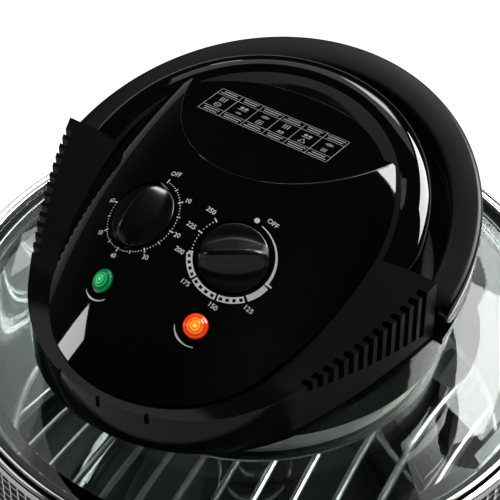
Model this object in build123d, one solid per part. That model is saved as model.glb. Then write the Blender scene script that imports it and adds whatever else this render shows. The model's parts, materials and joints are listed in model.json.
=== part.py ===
from build123d import *
import math
import os

# Countertop halogen oven: a glass bowl in a wire-guarded stand, and a hinged glass lid that carries the
# heating head with its two dials, two lamps and swinging carry handle.
# Millimetres. +Z is up, the front faces -Y, and the origin is the middle of the plane the feet rest on.
# The head on the lid is modelled about its own origin, the middle of the lid glass's top face.

# ---- Fits ----------------------------------------------------------------------------------------
SEAT = 0.1            # between round seats of pieces that are fixed together
RUN = 0.05            # radial, a shaft or pin in its bore
GAP = 0.3             # between pieces that move apart

# ---- Screws --------------------------------------------------------------------------------------
SCREW_R = 2.0
SCREW_HEAD_R = 3.8
SCREW_HEAD_H = 2.2

# ---- Stand ---------------------------------------------------------------------------------------
FOOT_H = 6.0
FOOT_R = 11.0
FOOT_TOP_R = 13.0
FOOT_INSET = 20.0     # from the flat floor's edge to the middle of a foot

TRAY_T = 3.0
TRAY_FLOOR_INSET = 32.5
TRAY_SLOPE_INSET = 9.5
TRAY_SLOPE_RISE = 16.0
TRAY_H = 40.0
TRAY_LIP_H = 10.0
BOWL_SEAT_INSET = 5.0  # from the edge of the bowl's flat underside
BOWL_SEAT_W = 6.0
BOWL_SEAT_H = 9.0

POST_COUNT = 4
POST_W = 14.0
POST_T = 3.0
POST_INSET = 4.0      # from the ring ledge's inner edge
POST_PAD_H = 23.0     # above the tray's floor
POST_PAD_MARGIN = 1.0

BOWL_H = 198.0
BOWL_T = 5.0
BOWL_TOP_R = 155.0
BOWL_DRAFT = 12.0     # the wall leans out by this much
BOWL_CORNER_R = 40.0
BOWL_CORNER_STEPS = 4
BOWL_FLANGE_W = 10.5
BOWL_FLANGE_T = 6.0

RING_LEDGE_GAP = 2.5  # between the bowl's wall and the ledge
RING_FLANGE_GAP = 2.7  # between the bowl's flange and the ring
RING_LEDGE_T = 3.0
RING_T = 1.4
RING_SKIRT_H = 22.0   # below the ledge's top
RING_LIP_H = 7.2      # above the ledge's top

BAND_PROUD = 0.6      # the band stands this far outside the guard's bars
BAND_H = 4.0
BAND_BEAD_W = 2.2
BAND_BEAD_H = 0.7

TRAY_PROUD = 0.2      # the tray's rim stands this far outside the band
GUARD_RING_GAP = 0.7
GUARD_T = 1.4
GUARD_BARS = 60
GUARD_BAR_W = 1.4
GUARD_HOOP_H = 2.5

RACK_GAP = 1.0        # between the ring and the bowl's inside at its narrowest
RACK_Z = 118.0        # above the bowl's floor
RACK_PITCH = 18.2
RACK_WIRE_R = 1.8
RACK_RING_R = 2.4
RACK_LEGS = 4
RACK_FOOT_INSET = 7.2  # from the edge of the bowl's flat floor

GRIP_HALF_W = 46.0
GRIP_REACH = 40.0
GRIP_T = 10.0
GRIP_BAR = 13.0
GRIP_HOLE_HALF_W = 32.0
GRIP_INSET = 5.0      # wall between the tray and the finger hole
GRIP_CORNER_R = 14.0
GRIP_SCREW_Y = 34.0
GRIP_ROOT = 6.0       # how far the plate is drawn into the tray before it is cut to it
GRIP_SCREW_L = 16.0

# ---- Lid hinge -----------------------------------------------------------------------------------
HINGE_BEHIND = 5.4    # from the bracket's plate to the pin
HINGE_Z = 6.0         # above the lid glass
HINGE_PIN_R = 3.0
HINGE_LUG_R = 8.0
HINGE_LUG_T = 6.0
HINGE_KNUCKLE_R = 7.0
HINGE_ARM_HALF_W = 8.7
BRACKET_T = 8.0
BRACKET_DEPTH = 34.0  # below the lid glass
BRACKET_TOP = 3.0     # below the lid glass
BRACKET_BOSS_TOP = 11.0
BRACKET_SCREW_RISE = 6.0
BRACKET_SCREW_XS = (-7.5, 7.5)
BRACKET_BOSS_MARGIN = 1.0
BRACKET_BOSS_ROOT = 6.0
HINGE_PIN_HEAD_R = 5.0
HINGE_PIN_HEAD_T = 1.9
GUARD_WINDOW_HALF_W = 19.0
GUARD_WINDOW_MARGIN = 2.0

# ---- Lid ring ------------------------------------------------------------------------------------
LID_GROOVE = 1.2      # between the lid's rim and the support ring
LID_GLASS_T = 4.0
LID_HOLE_R = 97.0
GASKET_T = 0.6
GASKET_WALL = 1.2
GASKET_LIP = 0.4      # over the glass's edge
LID_RIM_T = 0.8
LID_RIM_PLAY = 0.4
LID_RIM_LIP = 1.9     # over the gasket
LID_RIM_UNDER = 8.0   # under the glass

# ---- Heating chamber -----------------------------------------------------------------------------
COLLAR_FLANGE = 4.4   # over the glass round its hole
COLLAR_FLARE = 2.1
COLLAR_H = 20.0
COLLAR_T = 1.0
CLAMP_OUT = 8.0       # under the glass round its hole
CLAMP_IN = 11.0
CLAMP_T = 1.5
SPACER_COUNT = 4
SPACER_INSET = 4.0
SPACER_R = 3.5
CLAMP_SCREW_L = 21.5
REFLECTOR_FLAT_R = 58.0
REFLECTOR_DROP = 11.0
REFLECTOR_T = 1.0
TUBE_R = 4.5
TUBE_ORBIT_R = 70.0
TUBE_Z = 1.0
TUBE_FLATS = 6
TUBE_GAP_DEG = 34.0
HOLDER_W = 14.0
HOLDER_HALF_T = 6.0
HOLDER_DROP = 6.0     # below the tube's middle
HOLDER_SHIFT_DEG = 3.0
GUARD_PLATE_T = 1.5
GUARD_SPOKES = 24
GUARD_SPOKE_W = 1.8
GUARD_HUB_R = 15.0
GUARD_MID_R = 52.0
GUARD_MID_W = 2.0
GUARD_RIM_W = 5.0

# ---- Lower housing -------------------------------------------------------------------------------
WALL = 2.5
LOBE_OVERHANG = 6.5   # over the collar's top
LOBE_FLARE = 1.5
LOBE_STEP_Z = 29.0
LOBE_STEP_H = 1.5
DECK_OVERHANG = 0.8   # the deck's rear edge lies this far inside the carry handle's outside
DECK_T = 4.0
PARTING_FRONT_Z = 36.0
PARTING_KNEE_Y = -90.0
PARTING_SLOPE = 0.268
ARM_BOSS_PROUD = 2.5
ARM_BOSS_HALF_W = 17.0
ARM_BOSS_Z = 22.0
ARM_BOSS_H = 20.0
ARM_BOSS_ROOT = 8.0
ARM_SCREW_X = 12.5
ARM_SCREW_L = 9.0
ARM_FLANGE_T = 3.0
ARM_STRAP_R = 5.0
POST_BOSS_R = 4.5
POST_BOSS_TOP = 62.0
POST_BOSSES = ((58.0, -22.0), (42.0, 34.0))

# ---- Upper cover ---------------------------------------------------------------------------------
COVER_REAR_X = 115.3
COVER_REAR_Y = -10.0
COVER_SIDE = (97.6, -60.0)
COVER_JOIN = (75.4, -100.0)
COVER_FRONT_Y = -139.5
CROWN_R = 98.0
CROWN_Y = -18.0
TOP_FRONT = (-145.0, 55.4)
TOP_KNEE = (-70.0, 70.2)
TOP_BREAK = (-8.0, 95.0)
TOP_REAR = (84.0, 122.0)
CROWN_EDGE = 2.5

SLOT_COUNT = 13
SLOT_FIRST_Y = -18.1
SLOT_PITCH = 5.25
SLOT_W = 3.0
SLOT_DEPTH = 4.5
SLOT_FLOOR_Z = 61.5
SLOT_WALL = 9.0

NOTCH_XS = (-27.0, 0.0, 27.0)
NOTCH_W = 2.4
NOTCH_H = 6.0
NOTCH_DEPTH = 1.6

# ---- Control dome --------------------------------------------------------------------------------
DOME_Y = 58.7
DOME_Z = -130.6
DOME_LONG_R = 268.9
DOME_CROSS_R = 109.0
DOME_SKIRT = 12.0
EGG_REAR_R = 81.7
EGG_SIDE_X = 80.9
EGG_SIDE_MID = (77.0, -54.0)
EGG_SIDE_Y = -15.0
EGG_JOIN = (65.5, -90.0)
EGG_FRONT_Y = -134.0
PLATEAU_R = 76.0
PLATEAU_Z = 120.9
PLATEAU_SLOPE = -0.12
RISER_FRONT_Y = 32.0
RISER_LEAD = 1.0
RIDGE_Z = 116.35
RIDGE_SLOPE = 0.029

DIAL_X = 28.2
DIAL_Y = -61.6
DIAL_RECESS = 4.0      # depth of the round well that each dial turns in
DIAL_BOSS_DEPTH = 7.5  # below the dome's skin
DIAL_WALL = 2.0        # round the well
DIAL_MARGIN = 1.4
KNOB_R = 18.0
KNOB_T = 3.0           # at the dial's edge
KNOB_CROWN_R = 13.5
KNOB_CROWN_RISE = 1.6
KNOB_GRIP_FOOT = (17.0, 9.0)    # half length and half width of the grip where it leaves the dial
KNOB_GRIP_TOP = (14.5, 2.8)
KNOB_GRIP_RISE = 9.0
TIMER_TURN = -16.0     # how the grip stands at rest, from straight uphill, as in the photo: off
THERMOSTAT_TURN = 127.0   # and near 200 degrees on its scale
KNOB_SHAFT_R = 3.0
KNOB_SHAFT_L = 17.0
UNIT_W = 38.0
UNIT_L = 34.0
UNIT_H = 17.0
UNIT_CORNER_R = 4.0

LAMP_X = 28.6
LAMP_Y = -95.1
LENS_R = 6.5
LENS_RISE = 3.0
LENS_FLANGE_R = 8.5
LENS_FLANGE_T = 1.6
LENS_SEAT = 3.4       # below the dome's skin
HOLDER_R = 5.5
HOLDER_L = 13.0

# ---- Drive ---------------------------------------------------------------------------------------
DRIVE_SHAFT_R = 3.0
SHAFT_ROOM = 3.0      # radial, where it passes through a wall
SHAFT_END = 5.0       # the shaft stops this far below the motor's top
MOTOR_R = 29.0
MOTOR_H = 34.0
MOTOR_CORNER = 4.0
MOTOR_Z = 34.0
BRACKET_PLATE_R = 46.0
BRACKET_PLATE_T = 2.0
BRACKET_LEGS = 4
BRACKET_LEG_R = 4.0
BRACKET_LEG_ORBIT_R = 40.0
FAN_HUB_R = 7.0
FAN_BLADES = 8
FAN_BLADE_T = 1.2
FAN_PITCH_DEG = 35.0
COOLING_FAN_R = 33.0
COOLING_FAN_H = 6.0
COOLING_FAN_Z = 24.5
STIR_FAN_R = 50.0
STIR_FAN_H = 8.0
STIR_FAN_Z = 0.5

# ---- Carry handle --------------------------------------------------------------------------------
HANDLE_GAP = 6.9      # between the crown and the ring
HANDLE_W = 16.9
HANDLE_Y = -7.0
HANDLE_PIVOT_Z = 70.3
HANDLE_SLOPE_DEG = 15.2
HANDLE_T = 17.0
HANDLE_EDGE = 3.0
PIVOT_R = 4.0
PIVOT_SHOULDER_R = 7.0
PIVOT_REACH = 9.0
PIVOT_ROOT = 7.0      # how far the pin reaches in through the cover's wall

# ---- Cord inlet ----------------------------------------------------------------------------------
INLET_DEG = 60.0
INLET_Z = 45.0
INLET_R = 8.0
INLET_NECK_R = 6.0
INLET_ROOT = 4.0      # how far the collar is drawn into the wall before it is cut to it
INLET_NECK_L = 5.0
INLET_LENGTH = 9.0
INLET_BORE_R = 3.6

# ---- Sizes that follow ---------------------------------------------------------------------------
BOWL_BOTTOM_R = BOWL_TOP_R - BOWL_DRAFT
BOWL_FLANGE_R = BOWL_TOP_R + BOWL_FLANGE_W
BOWL_SEAT_R = BOWL_BOTTOM_R - BOWL_CORNER_R - BOWL_SEAT_INSET
RACK_R = BOWL_BOTTOM_R - BOWL_T - RACK_GAP
RING_LEDGE_R = BOWL_TOP_R + RING_LEDGE_GAP
RING_INNER_R = BOWL_FLANGE_R + RING_FLANGE_GAP
RING_R = RING_INNER_R + RING_T
POST_R = RING_LEDGE_R + POST_INSET
GUARD_R = RING_R + GUARD_RING_GAP + GUARD_T
BAND_R = GUARD_R + BAND_PROUD
TRAY_R = BAND_R + TRAY_PROUD
TRAY_SLOPE_R = TRAY_R - TRAY_SLOPE_INSET
TRAY_FLOOR_R = TRAY_R - TRAY_FLOOR_INSET
FOOT_ORBIT_R = TRAY_FLOOR_R - FOOT_INSET
HINGE_Y = BAND_R + GAP + BRACKET_T + HINGE_BEHIND

LID_RIM_R = RING_INNER_R - LID_GROOVE
LID_RIM_LIP_R = LID_RIM_R - LID_RIM_LIP
LID_RIM_UNDER_R = LID_RIM_R - LID_RIM_UNDER
GASKET_R = LID_RIM_R - LID_RIM_T - LID_RIM_PLAY
LID_GLASS_R = GASKET_R - GASKET_WALL
GASKET_LIP_R = LID_GLASS_R - GASKET_LIP
COLLAR_R = LID_HOLE_R + COLLAR_FLANGE
COLLAR_TOP_R = COLLAR_R + COLLAR_FLARE
CLAMP_R = LID_HOLE_R + CLAMP_OUT
CLAMP_INNER_R = LID_HOLE_R - CLAMP_IN
SPACER_ORBIT_R = LID_HOLE_R - SPACER_INSET
REFLECTOR_R = CLAMP_INNER_R
LOBE_R = COLLAR_TOP_R + LOBE_OVERHANG
LOBE_TOP_R = LOBE_R + LOBE_FLARE
ARM_BOSS_Y = LOBE_TOP_R + ARM_BOSS_PROUD
HANDLE_INNER_R = CROWN_R + HANDLE_GAP
HANDLE_R = HANDLE_INNER_R + HANDLE_W

TRAY_FLOOR_Z = FOOT_H + TRAY_T
BOWL_Z = TRAY_FLOOR_Z + BOWL_SEAT_H
BOWL_RIM_Z = BOWL_Z + BOWL_H
LEDGE_Z = BOWL_RIM_Z - BOWL_FLANGE_T
TRAY_RIM_Z = FOOT_H + TRAY_H
BAND_Z = LEDGE_Z + RING_LIP_H
LID_Z = BOWL_RIM_Z + GAP
GLASS_Z = LID_Z + LID_RIM_T + GASKET_T + LID_GLASS_T
REACH = 400.0

HEAD = Pos(0, 0, GLASS_Z)


# ---- Helpers -------------------------------------------------------------------------------------
def turned(*points):
    """A full turn about Z of a closed outline of (radius, height) points."""
    return revolve(Plane.XZ * make_face(Polyline(*points, close=True)), Axis.Z)


def washer(inner, outer, low, high):
    """A flat ring between two radii and two heights."""
    return turned((inner, low), (outer, low), (outer, high), (inner, high))


def across(*points, half_width=REACH):
    """A closed (y, z) outline extruded both ways along X."""
    return extrude(Plane.YZ * make_face(Polyline(*points, close=True)), half_width, both=True)


def block(x0, x1, y0, y1, z0, z1):
    """A box between two corners."""
    return Pos((x0 + x1) / 2, (y0 + y1) / 2, (z0 + z1) / 2) * Box(x1 - x0, y1 - y0, z1 - z0)


def upright(radius, low, high, x=0.0, y=0.0):
    """A vertical cylinder between two heights."""
    return Pos(x, y, (low + high) / 2) * Cylinder(radius, high - low)


def rod(radius, start, end):
    """A cylinder from one point to another."""
    start, end = Vector(*start), Vector(*end)
    return extrude(Plane(start, z_dir=end - start) * Circle(radius), (end - start).length)


def column(face, low=-REACH, high=REACH):
    """A plan outline as a tall prism."""
    return extrude(Pos(0, 0, low) * face, high - low)


def around(count, piece, start=0.0):
    """Copies of a piece at equal steps about Z."""
    return [Rot(Z=start + 360.0 * i / count) * piece for i in range(count)]


def fused(pieces):
    """One shape from a list of pieces."""
    total = pieces[0]
    for piece in pieces[1:]:
        total = total + piece
    return total


def group(pieces):
    """A compound of separate solids."""
    return Compound(children=[solid for piece in pieces for solid in piece.solids()])


def screw_at_origin(length):
    """A screw with its seat at the origin and its shank along -Z."""
    return upright(SCREW_HEAD_R, 0, SCREW_HEAD_H) + upright(SCREW_R, -length, SCREW_HEAD_H / 2)


# ---- Stand ---------------------------------------------------------------------------------------
def feet():
    foot = Pos(FOOT_ORBIT_R, 0, FOOT_H / 2) * Cone(FOOT_R, FOOT_TOP_R, FOOT_H)
    return group(around(4, foot, 45))


def tray_outline():
    slope_z = FOOT_H + TRAY_SLOPE_RISE
    lip_z = TRAY_RIM_Z - TRAY_LIP_H
    return (0, FOOT_H), (TRAY_FLOOR_R, FOOT_H), (TRAY_SLOPE_R, slope_z), (TRAY_R, lip_z), (TRAY_R, TRAY_RIM_Z)


def base_tray():
    slope_z = FOOT_H + TRAY_SLOPE_RISE
    lip_z = TRAY_RIM_Z - TRAY_LIP_H
    inner = (
        (TRAY_R - TRAY_T, TRAY_RIM_Z),
        (TRAY_R - TRAY_T, lip_z + TRAY_T / 3),
        (TRAY_SLOPE_R - TRAY_T, slope_z + TRAY_T / 2),
        (TRAY_FLOOR_R - TRAY_T / 3, TRAY_FLOOR_Z),
        (0, TRAY_FLOOR_Z),
    )
    shell = turned(*tray_outline(), *inner)
    filled = turned(*tray_outline(), (0, TRAY_RIM_Z))
    seat = washer(BOWL_SEAT_R - BOWL_SEAT_W / 2, BOWL_SEAT_R + BOWL_SEAT_W / 2, TRAY_FLOOR_Z, BOWL_Z)
    half_w = POST_W / 2 + POST_PAD_MARGIN
    pad = block(
        POST_R - POST_T, POST_R + POST_T, -half_w, half_w, TRAY_FLOOR_Z, TRAY_FLOOR_Z + POST_PAD_H
    )
    pads = fused(around(POST_COUNT, pad, 45)) & filled
    holes = [grip_screw_hole(side, y) for side in (-1, 1) for y in (-GRIP_SCREW_Y, GRIP_SCREW_Y)]
    return shell + seat + pads - fused(holes)


def stand_posts():
    low = TRAY_FLOOR_Z + POST_PAD_H
    high = LEDGE_Z - RING_LEDGE_T
    post = block(POST_R - POST_T / 2, POST_R + POST_T / 2, -POST_W / 2, POST_W / 2, low, high)
    return group(around(POST_COUNT, post, 45))


def support_ring():
    ring = turned(
        (RING_LEDGE_R, LEDGE_Z - RING_LEDGE_T),
        (RING_INNER_R, LEDGE_Z - RING_LEDGE_T),
        (RING_INNER_R, LEDGE_Z - RING_SKIRT_H),
        (RING_R, LEDGE_Z - RING_SKIRT_H),
        (RING_R, BAND_Z),
        (RING_INNER_R, BAND_Z),
        (RING_INNER_R, LEDGE_Z),
        (RING_LEDGE_R, LEDGE_Z),
    )
    return ring - fused(bracket_screw_shanks(SCREW_R + SEAT))


def rim_band():
    bead_r = BAND_R - BAND_BEAD_W
    top = BAND_Z + BAND_H
    return turned(
        (RING_INNER_R, BAND_Z),
        (BAND_R, BAND_Z),
        (BAND_R, top - BAND_BEAD_H),
        (BAND_R - BAND_BEAD_W / 3, top),
        (bead_r + BAND_BEAD_W / 3, top),
        (bead_r, top - BAND_BEAD_H),
        (RING_INNER_R, top - BAND_BEAD_H),
    )


def guard_mesh():
    inner = GUARD_R - GUARD_T
    bar = block(inner, GUARD_R, -GUARD_BAR_W / 2, GUARD_BAR_W / 2, TRAY_RIM_Z, BAND_Z)
    low_hoop = washer(inner, GUARD_R, TRAY_RIM_Z, TRAY_RIM_Z + GUARD_HOOP_H)
    top_hoop = washer(inner, GUARD_R, BAND_Z - GUARD_HOOP_H, BAND_Z)
    window = block(
        -GUARD_WINDOW_HALF_W,
        GUARD_WINDOW_HALF_W,
        0,
        REACH,
        GLASS_Z - BRACKET_DEPTH - GUARD_WINDOW_MARGIN,
        BAND_Z - GUARD_HOOP_H - GUARD_WINDOW_MARGIN / 2,
    )
    cage = fused([low_hoop, top_hoop] + around(GUARD_BARS, bar))
    return cage - window


def bowl_side(radius_low, radius_high, low, high, corner):
    """Points of a bowl's corner and wall: an arc in equal steps, blending a level floor into a sloped wall."""
    lean = math.atan2(high - low, radius_high - radius_low)
    tangent = corner * math.tan(lean / 2)
    centre_r, centre_z = radius_low - tangent, low + corner
    points = [(centre_r, low)]
    for step in range(1, BOWL_CORNER_STEPS + 1):
        angle = lean * step / BOWL_CORNER_STEPS
        points.append((centre_r + corner * math.sin(angle), centre_z - corner * math.cos(angle)))
    return points + [(radius_high, high)]


def glass_bowl():
    floor_z = BOWL_Z + BOWL_T
    outer = bowl_side(BOWL_BOTTOM_R, BOWL_TOP_R, BOWL_Z, LEDGE_Z, BOWL_CORNER_R)
    inner_r, inner_corner = BOWL_BOTTOM_R - BOWL_T, BOWL_CORNER_R - BOWL_T
    inner = bowl_side(inner_r, BOWL_TOP_R - BOWL_T, floor_z, BOWL_RIM_Z, inner_corner)
    flange = [(BOWL_FLANGE_R, LEDGE_Z), (BOWL_FLANGE_R, BOWL_RIM_Z)]
    return turned((0, BOWL_Z), *outer, *flange, *reversed(inner), (0, floor_z))


def wire(start, end, radius=RACK_WIRE_R):
    """A straight rack wire, drawn with six flats to keep it light."""
    start, end = Vector(*start), Vector(*end)
    section = Plane(start, z_dir=end - start) * RegularPolygon(radius, 6)
    return extrude(section, (end - start).length)


def wire_rack():
    floor_z = BOWL_Z + BOWL_T
    ring_z = floor_z + RACK_Z
    ring = revolve(Pos(RACK_R - RACK_RING_R, 0, ring_z) * (Plane.XZ * RegularPolygon(RACK_RING_R, 6)), Axis.Z)
    rows = int((RACK_R - 2 * RACK_RING_R) // RACK_PITCH)
    wires = []
    for row in range(-rows, rows + 1):
        x = row * RACK_PITCH
        half = math.sqrt((RACK_R - RACK_RING_R) ** 2 - x**2)
        wires.append(wire((x, -half, ring_z), (x, half, ring_z)))
    leg_r = RACK_R - RACK_RING_R
    foot_r = BOWL_BOTTOM_R - BOWL_CORNER_R - RACK_FOOT_INSET
    leg = wire((leg_r, 0, ring_z), (foot_r, 0, floor_z + RACK_WIRE_R + SEAT), RACK_RING_R)
    leg = leg - upright(BOWL_BOTTOM_R, 0, floor_z)
    return fused([ring] + wires + around(RACK_LEGS, leg, 45))


def side_grip(side):
    inner_x = TRAY_R - GRIP_ROOT
    outer_x = TRAY_R + GRIP_REACH
    plate = Pos((inner_x + outer_x) / 2, 0) * RectangleRounded(
        outer_x - inner_x + 2 * GRIP_CORNER_R, 2 * GRIP_HALF_W, GRIP_CORNER_R
    )
    plate = plate & Rectangle(2 * outer_x, 2 * GRIP_HALF_W)
    hole_x0 = TRAY_R + GRIP_INSET
    hole_x1 = outer_x - GRIP_BAR
    hole = Pos((hole_x0 + hole_x1) / 2, 0) * RectangleRounded(
        hole_x1 - hole_x0, 2 * GRIP_HOLE_HALF_W, (hole_x1 - hole_x0) / 2 - SEAT
    )
    grip = column(plate - hole, TRAY_RIM_Z - GRIP_T, TRAY_RIM_Z)
    rim = grip.edges().filter_by_position(Axis.X, outer_x - SEAT, outer_x + SEAT).filter_by(Axis.Y)
    grip = fillet(rim, GRIP_T / 3)
    grip = grip - upright(TRAY_R + SEAT, 0, GLASS_Z)
    if side < 0:
        grip = Rot(Z=180) * grip
    return grip - fused([grip_screw_hole(side, y) for y in (-GRIP_SCREW_Y, GRIP_SCREW_Y)])


def grip_screw_plane(side, y):
    seat_x = math.sqrt((TRAY_R - TRAY_T) ** 2 - (abs(y) + SCREW_HEAD_R) ** 2)
    height = TRAY_RIM_Z - TRAY_LIP_H / 2 + TRAY_T / 6
    return Plane((side * seat_x, y, height), x_dir=(0, 1, 0), z_dir=(-side, 0, 0))


def grip_screw_hole(side, y):
    return grip_screw_plane(side, y) * upright(SCREW_R + SEAT, -GRIP_SCREW_L - GRIP_ROOT, SEAT + GAP)


def grip_screws():
    return group(
        [
            grip_screw_plane(side, y) * (Pos(0, 0, SEAT) * screw_at_origin(GRIP_SCREW_L))
            for side in (-1, 1)
            for y in (-GRIP_SCREW_Y, GRIP_SCREW_Y)
        ]
    )


# ---- Lid hinge -----------------------------------------------------------------------------------
def bracket_screw_shanks(radius):
    outer_y = BAND_R + GAP + BRACKET_T
    height = bracket_screw_height()
    inner_y = RING_INNER_R - RING_LEDGE_T
    return [rod(radius, (x, outer_y + GAP, height), (x, inner_y, height)) for x in BRACKET_SCREW_XS]


def bracket_screw_height():
    return GLASS_Z - BRACKET_DEPTH + BRACKET_SCREW_RISE


def hinge_bracket():
    low = GLASS_Z - BRACKET_DEPTH
    face_y = BAND_R + GAP
    outer_y = face_y + BRACKET_T
    pin_z = GLASS_Z + HINGE_Z
    half = HINGE_ARM_HALF_W + GAP + HINGE_LUG_T
    plate = block(-half, half, face_y, outer_y, low, GLASS_Z - BRACKET_TOP)
    boss_half = half - BRACKET_BOSS_MARGIN
    boss = block(-boss_half, boss_half, RING_R - BRACKET_BOSS_ROOT, face_y, low, GLASS_Z - BRACKET_BOSS_TOP)
    lug_outline = make_hull(
        [
            *(Pos(HINGE_Y, pin_z) * Circle(HINGE_LUG_R)).edges(),
            *(Pos((face_y + outer_y) / 2, (low + GLASS_Z) / 2) * Rectangle(BRACKET_T, HINGE_LUG_T)).edges(),
        ]
    )
    lug = extrude(Plane.YZ * lug_outline, HINGE_LUG_T)
    right = Pos(HINGE_ARM_HALF_W + GAP, 0, 0) * lug
    left = Pos(-half, 0, 0) * lug
    bore = rod(HINGE_PIN_R + RUN, (-half - GAP, HINGE_Y, pin_z), (half + GAP, HINGE_Y, pin_z))
    bracket = plate + boss + left + right - bore - upright(RING_R + SEAT, 0, GLASS_Z)
    return bracket - fused(bracket_screw_shanks(SCREW_R + SEAT))


def bracket_screws():
    screw = screw_at_origin(BAND_R + GAP + BRACKET_T - RING_INNER_R)
    outer_y = BAND_R + GAP + BRACKET_T
    places = [(x, outer_y, bracket_screw_height()) for x in BRACKET_SCREW_XS]
    return group([Plane(place, z_dir=(0, 1, 0)) * screw for place in places])


def hinge_pin():
    half = HINGE_ARM_HALF_W + GAP + HINGE_LUG_T
    height = GLASS_Z + HINGE_Z
    face = half + SEAT
    end = face + HINGE_PIN_HEAD_T
    shank = rod(HINGE_PIN_R, (-end, HINGE_Y, height), (end, HINGE_Y, height))
    heads = [
        rod(HINGE_PIN_HEAD_R, (side * face, HINGE_Y, height), (side * end, HINGE_Y, height)) for side in (-1, 1)
    ]
    return fused([shank] + heads)


def arm_screw_places():
    height = ARM_BOSS_Z + ARM_BOSS_H / 2
    return [(side * ARM_SCREW_X, ARM_BOSS_Y + ARM_FLANGE_T, height) for side in (-1, 1)]


def lid_arm():
    back_y = ARM_BOSS_Y + ARM_FLANGE_T
    flange = block(-ARM_BOSS_HALF_W, ARM_BOSS_HALF_W, ARM_BOSS_Y, back_y, ARM_BOSS_Z, ARM_BOSS_Z + ARM_BOSS_H)
    strap = make_hull(
        [
            *(Pos(ARM_BOSS_Y + ARM_STRAP_R, ARM_BOSS_Z + ARM_BOSS_H / 2) * Circle(ARM_STRAP_R)).edges(),
            *(Pos(HINGE_Y, HINGE_Z) * Circle(HINGE_KNUCKLE_R)).edges(),
        ]
    )
    arm = extrude(Plane.YZ * strap, HINGE_ARM_HALF_W, both=True)
    arm = arm - block(-REACH, REACH, 0, ARM_BOSS_Y, -REACH, REACH)
    half = HINGE_ARM_HALF_W + GAP
    bore = rod(HINGE_PIN_R + RUN, (-half, HINGE_Y, HINGE_Z), (half, HINGE_Y, HINGE_Z))
    holes = [rod(SCREW_R + SEAT, (x, y + GAP, z), (x, y - ARM_SCREW_L, z)) for x, y, z in arm_screw_places()]
    return flange + arm - bore - fused(holes)


def lid_arm_screws():
    return group([Plane(place, z_dir=(0, 1, 0)) * screw_at_origin(ARM_SCREW_L) for place in arm_screw_places()])


# ---- Lid ring, about the head's origin -------------------------------------------------------------
def lid_glass():
    return washer(LID_HOLE_R, LID_GLASS_R, -LID_GLASS_T, 0)


def rim_gasket():
    under = -LID_GLASS_T - GASKET_T
    return turned(
        (LID_RIM_UNDER_R + LID_RIM_T, under),
        (GASKET_R, under),
        (GASKET_R, GASKET_T),
        (GASKET_LIP_R, GASKET_T),
        (GASKET_LIP_R, 0),
        (LID_GLASS_R + SEAT, 0),
        (LID_GLASS_R + SEAT, -LID_GLASS_T),
        (LID_RIM_UNDER_R + LID_RIM_T, -LID_GLASS_T),
    )


def lid_rim():
    low = -LID_GLASS_T - GASKET_T - LID_RIM_T
    top = GASKET_T + LID_RIM_T
    return turned(
        (LID_RIM_UNDER_R, low),
        (LID_RIM_R, low),
        (LID_RIM_R, top),
        (LID_RIM_LIP_R, top),
        (LID_RIM_LIP_R, GASKET_T),
        (GASKET_R + SEAT, GASKET_T),
        (GASKET_R + SEAT, low + LID_RIM_T),
        (LID_RIM_UNDER_R, low + LID_RIM_T),
    )


# ---- Heating chamber -----------------------------------------------------------------------------
def collar():
    return turned(
        (LID_HOLE_R + COLLAR_T, 0),
        (COLLAR_R, 0),
        (COLLAR_TOP_R, COLLAR_H),
        (COLLAR_TOP_R - COLLAR_T, COLLAR_H),
        (COLLAR_R - COLLAR_T, COLLAR_T),
        (LID_HOLE_R + COLLAR_T, COLLAR_T),
    )


def spacer_ring(radius, low, high):
    return around(SPACER_COUNT, upright(radius, low, high, SPACER_ORBIT_R, 0), 45)


def clamp_ring():
    ring = washer(CLAMP_INNER_R, CLAMP_R, -LID_GLASS_T - CLAMP_T, -LID_GLASS_T)
    return ring - fused(spacer_ring(SCREW_R + SEAT, -LID_GLASS_T - 2 * CLAMP_T, 0))


def clamp_spacers():
    tube = upright(SPACER_R, -LID_GLASS_T, COLLAR_H) - upright(SCREW_R + SEAT, -LID_GLASS_T - GAP, COLLAR_H + GAP)
    return group(around(SPACER_COUNT, Pos(SPACER_ORBIT_R, 0, 0) * tube, 45))


def clamp_screws():
    screw = Pos(SPACER_ORBIT_R, 0, -LID_GLASS_T - CLAMP_T) * (Rot(X=180) * screw_at_origin(CLAMP_SCREW_L))
    return group(around(SPACER_COUNT, screw, 45))


def reflector():
    top = COLLAR_H
    low = COLLAR_H - REFLECTOR_DROP
    hole = DRIVE_SHAFT_R + SHAFT_ROOM
    return turned(
        (hole, top - REFLECTOR_T),
        (REFLECTOR_FLAT_R, top - REFLECTOR_T),
        (REFLECTOR_R, low - REFLECTOR_T),
        (REFLECTOR_R, low),
        (REFLECTOR_FLAT_R, top),
        (hole, top),
    )


def tube_ring(radius, arc):
    section = Plane.XZ * (Pos(TUBE_ORBIT_R, TUBE_Z) * RegularPolygon(radius, TUBE_FLATS))
    return revolve(section, Axis.Z, revolution_arc=arc)


def halogen_tube():
    return Rot(Z=90 + TUBE_GAP_DEG / 2) * tube_ring(TUBE_R, 360 - TUBE_GAP_DEG)


def reflector_height(radius):
    """Underside of the reflector's slope at a radius."""
    share = (radius - REFLECTOR_FLAT_R) / (REFLECTOR_R - REFLECTOR_FLAT_R)
    return COLLAR_H - REFLECTOR_T - share * REFLECTOR_DROP


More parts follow.
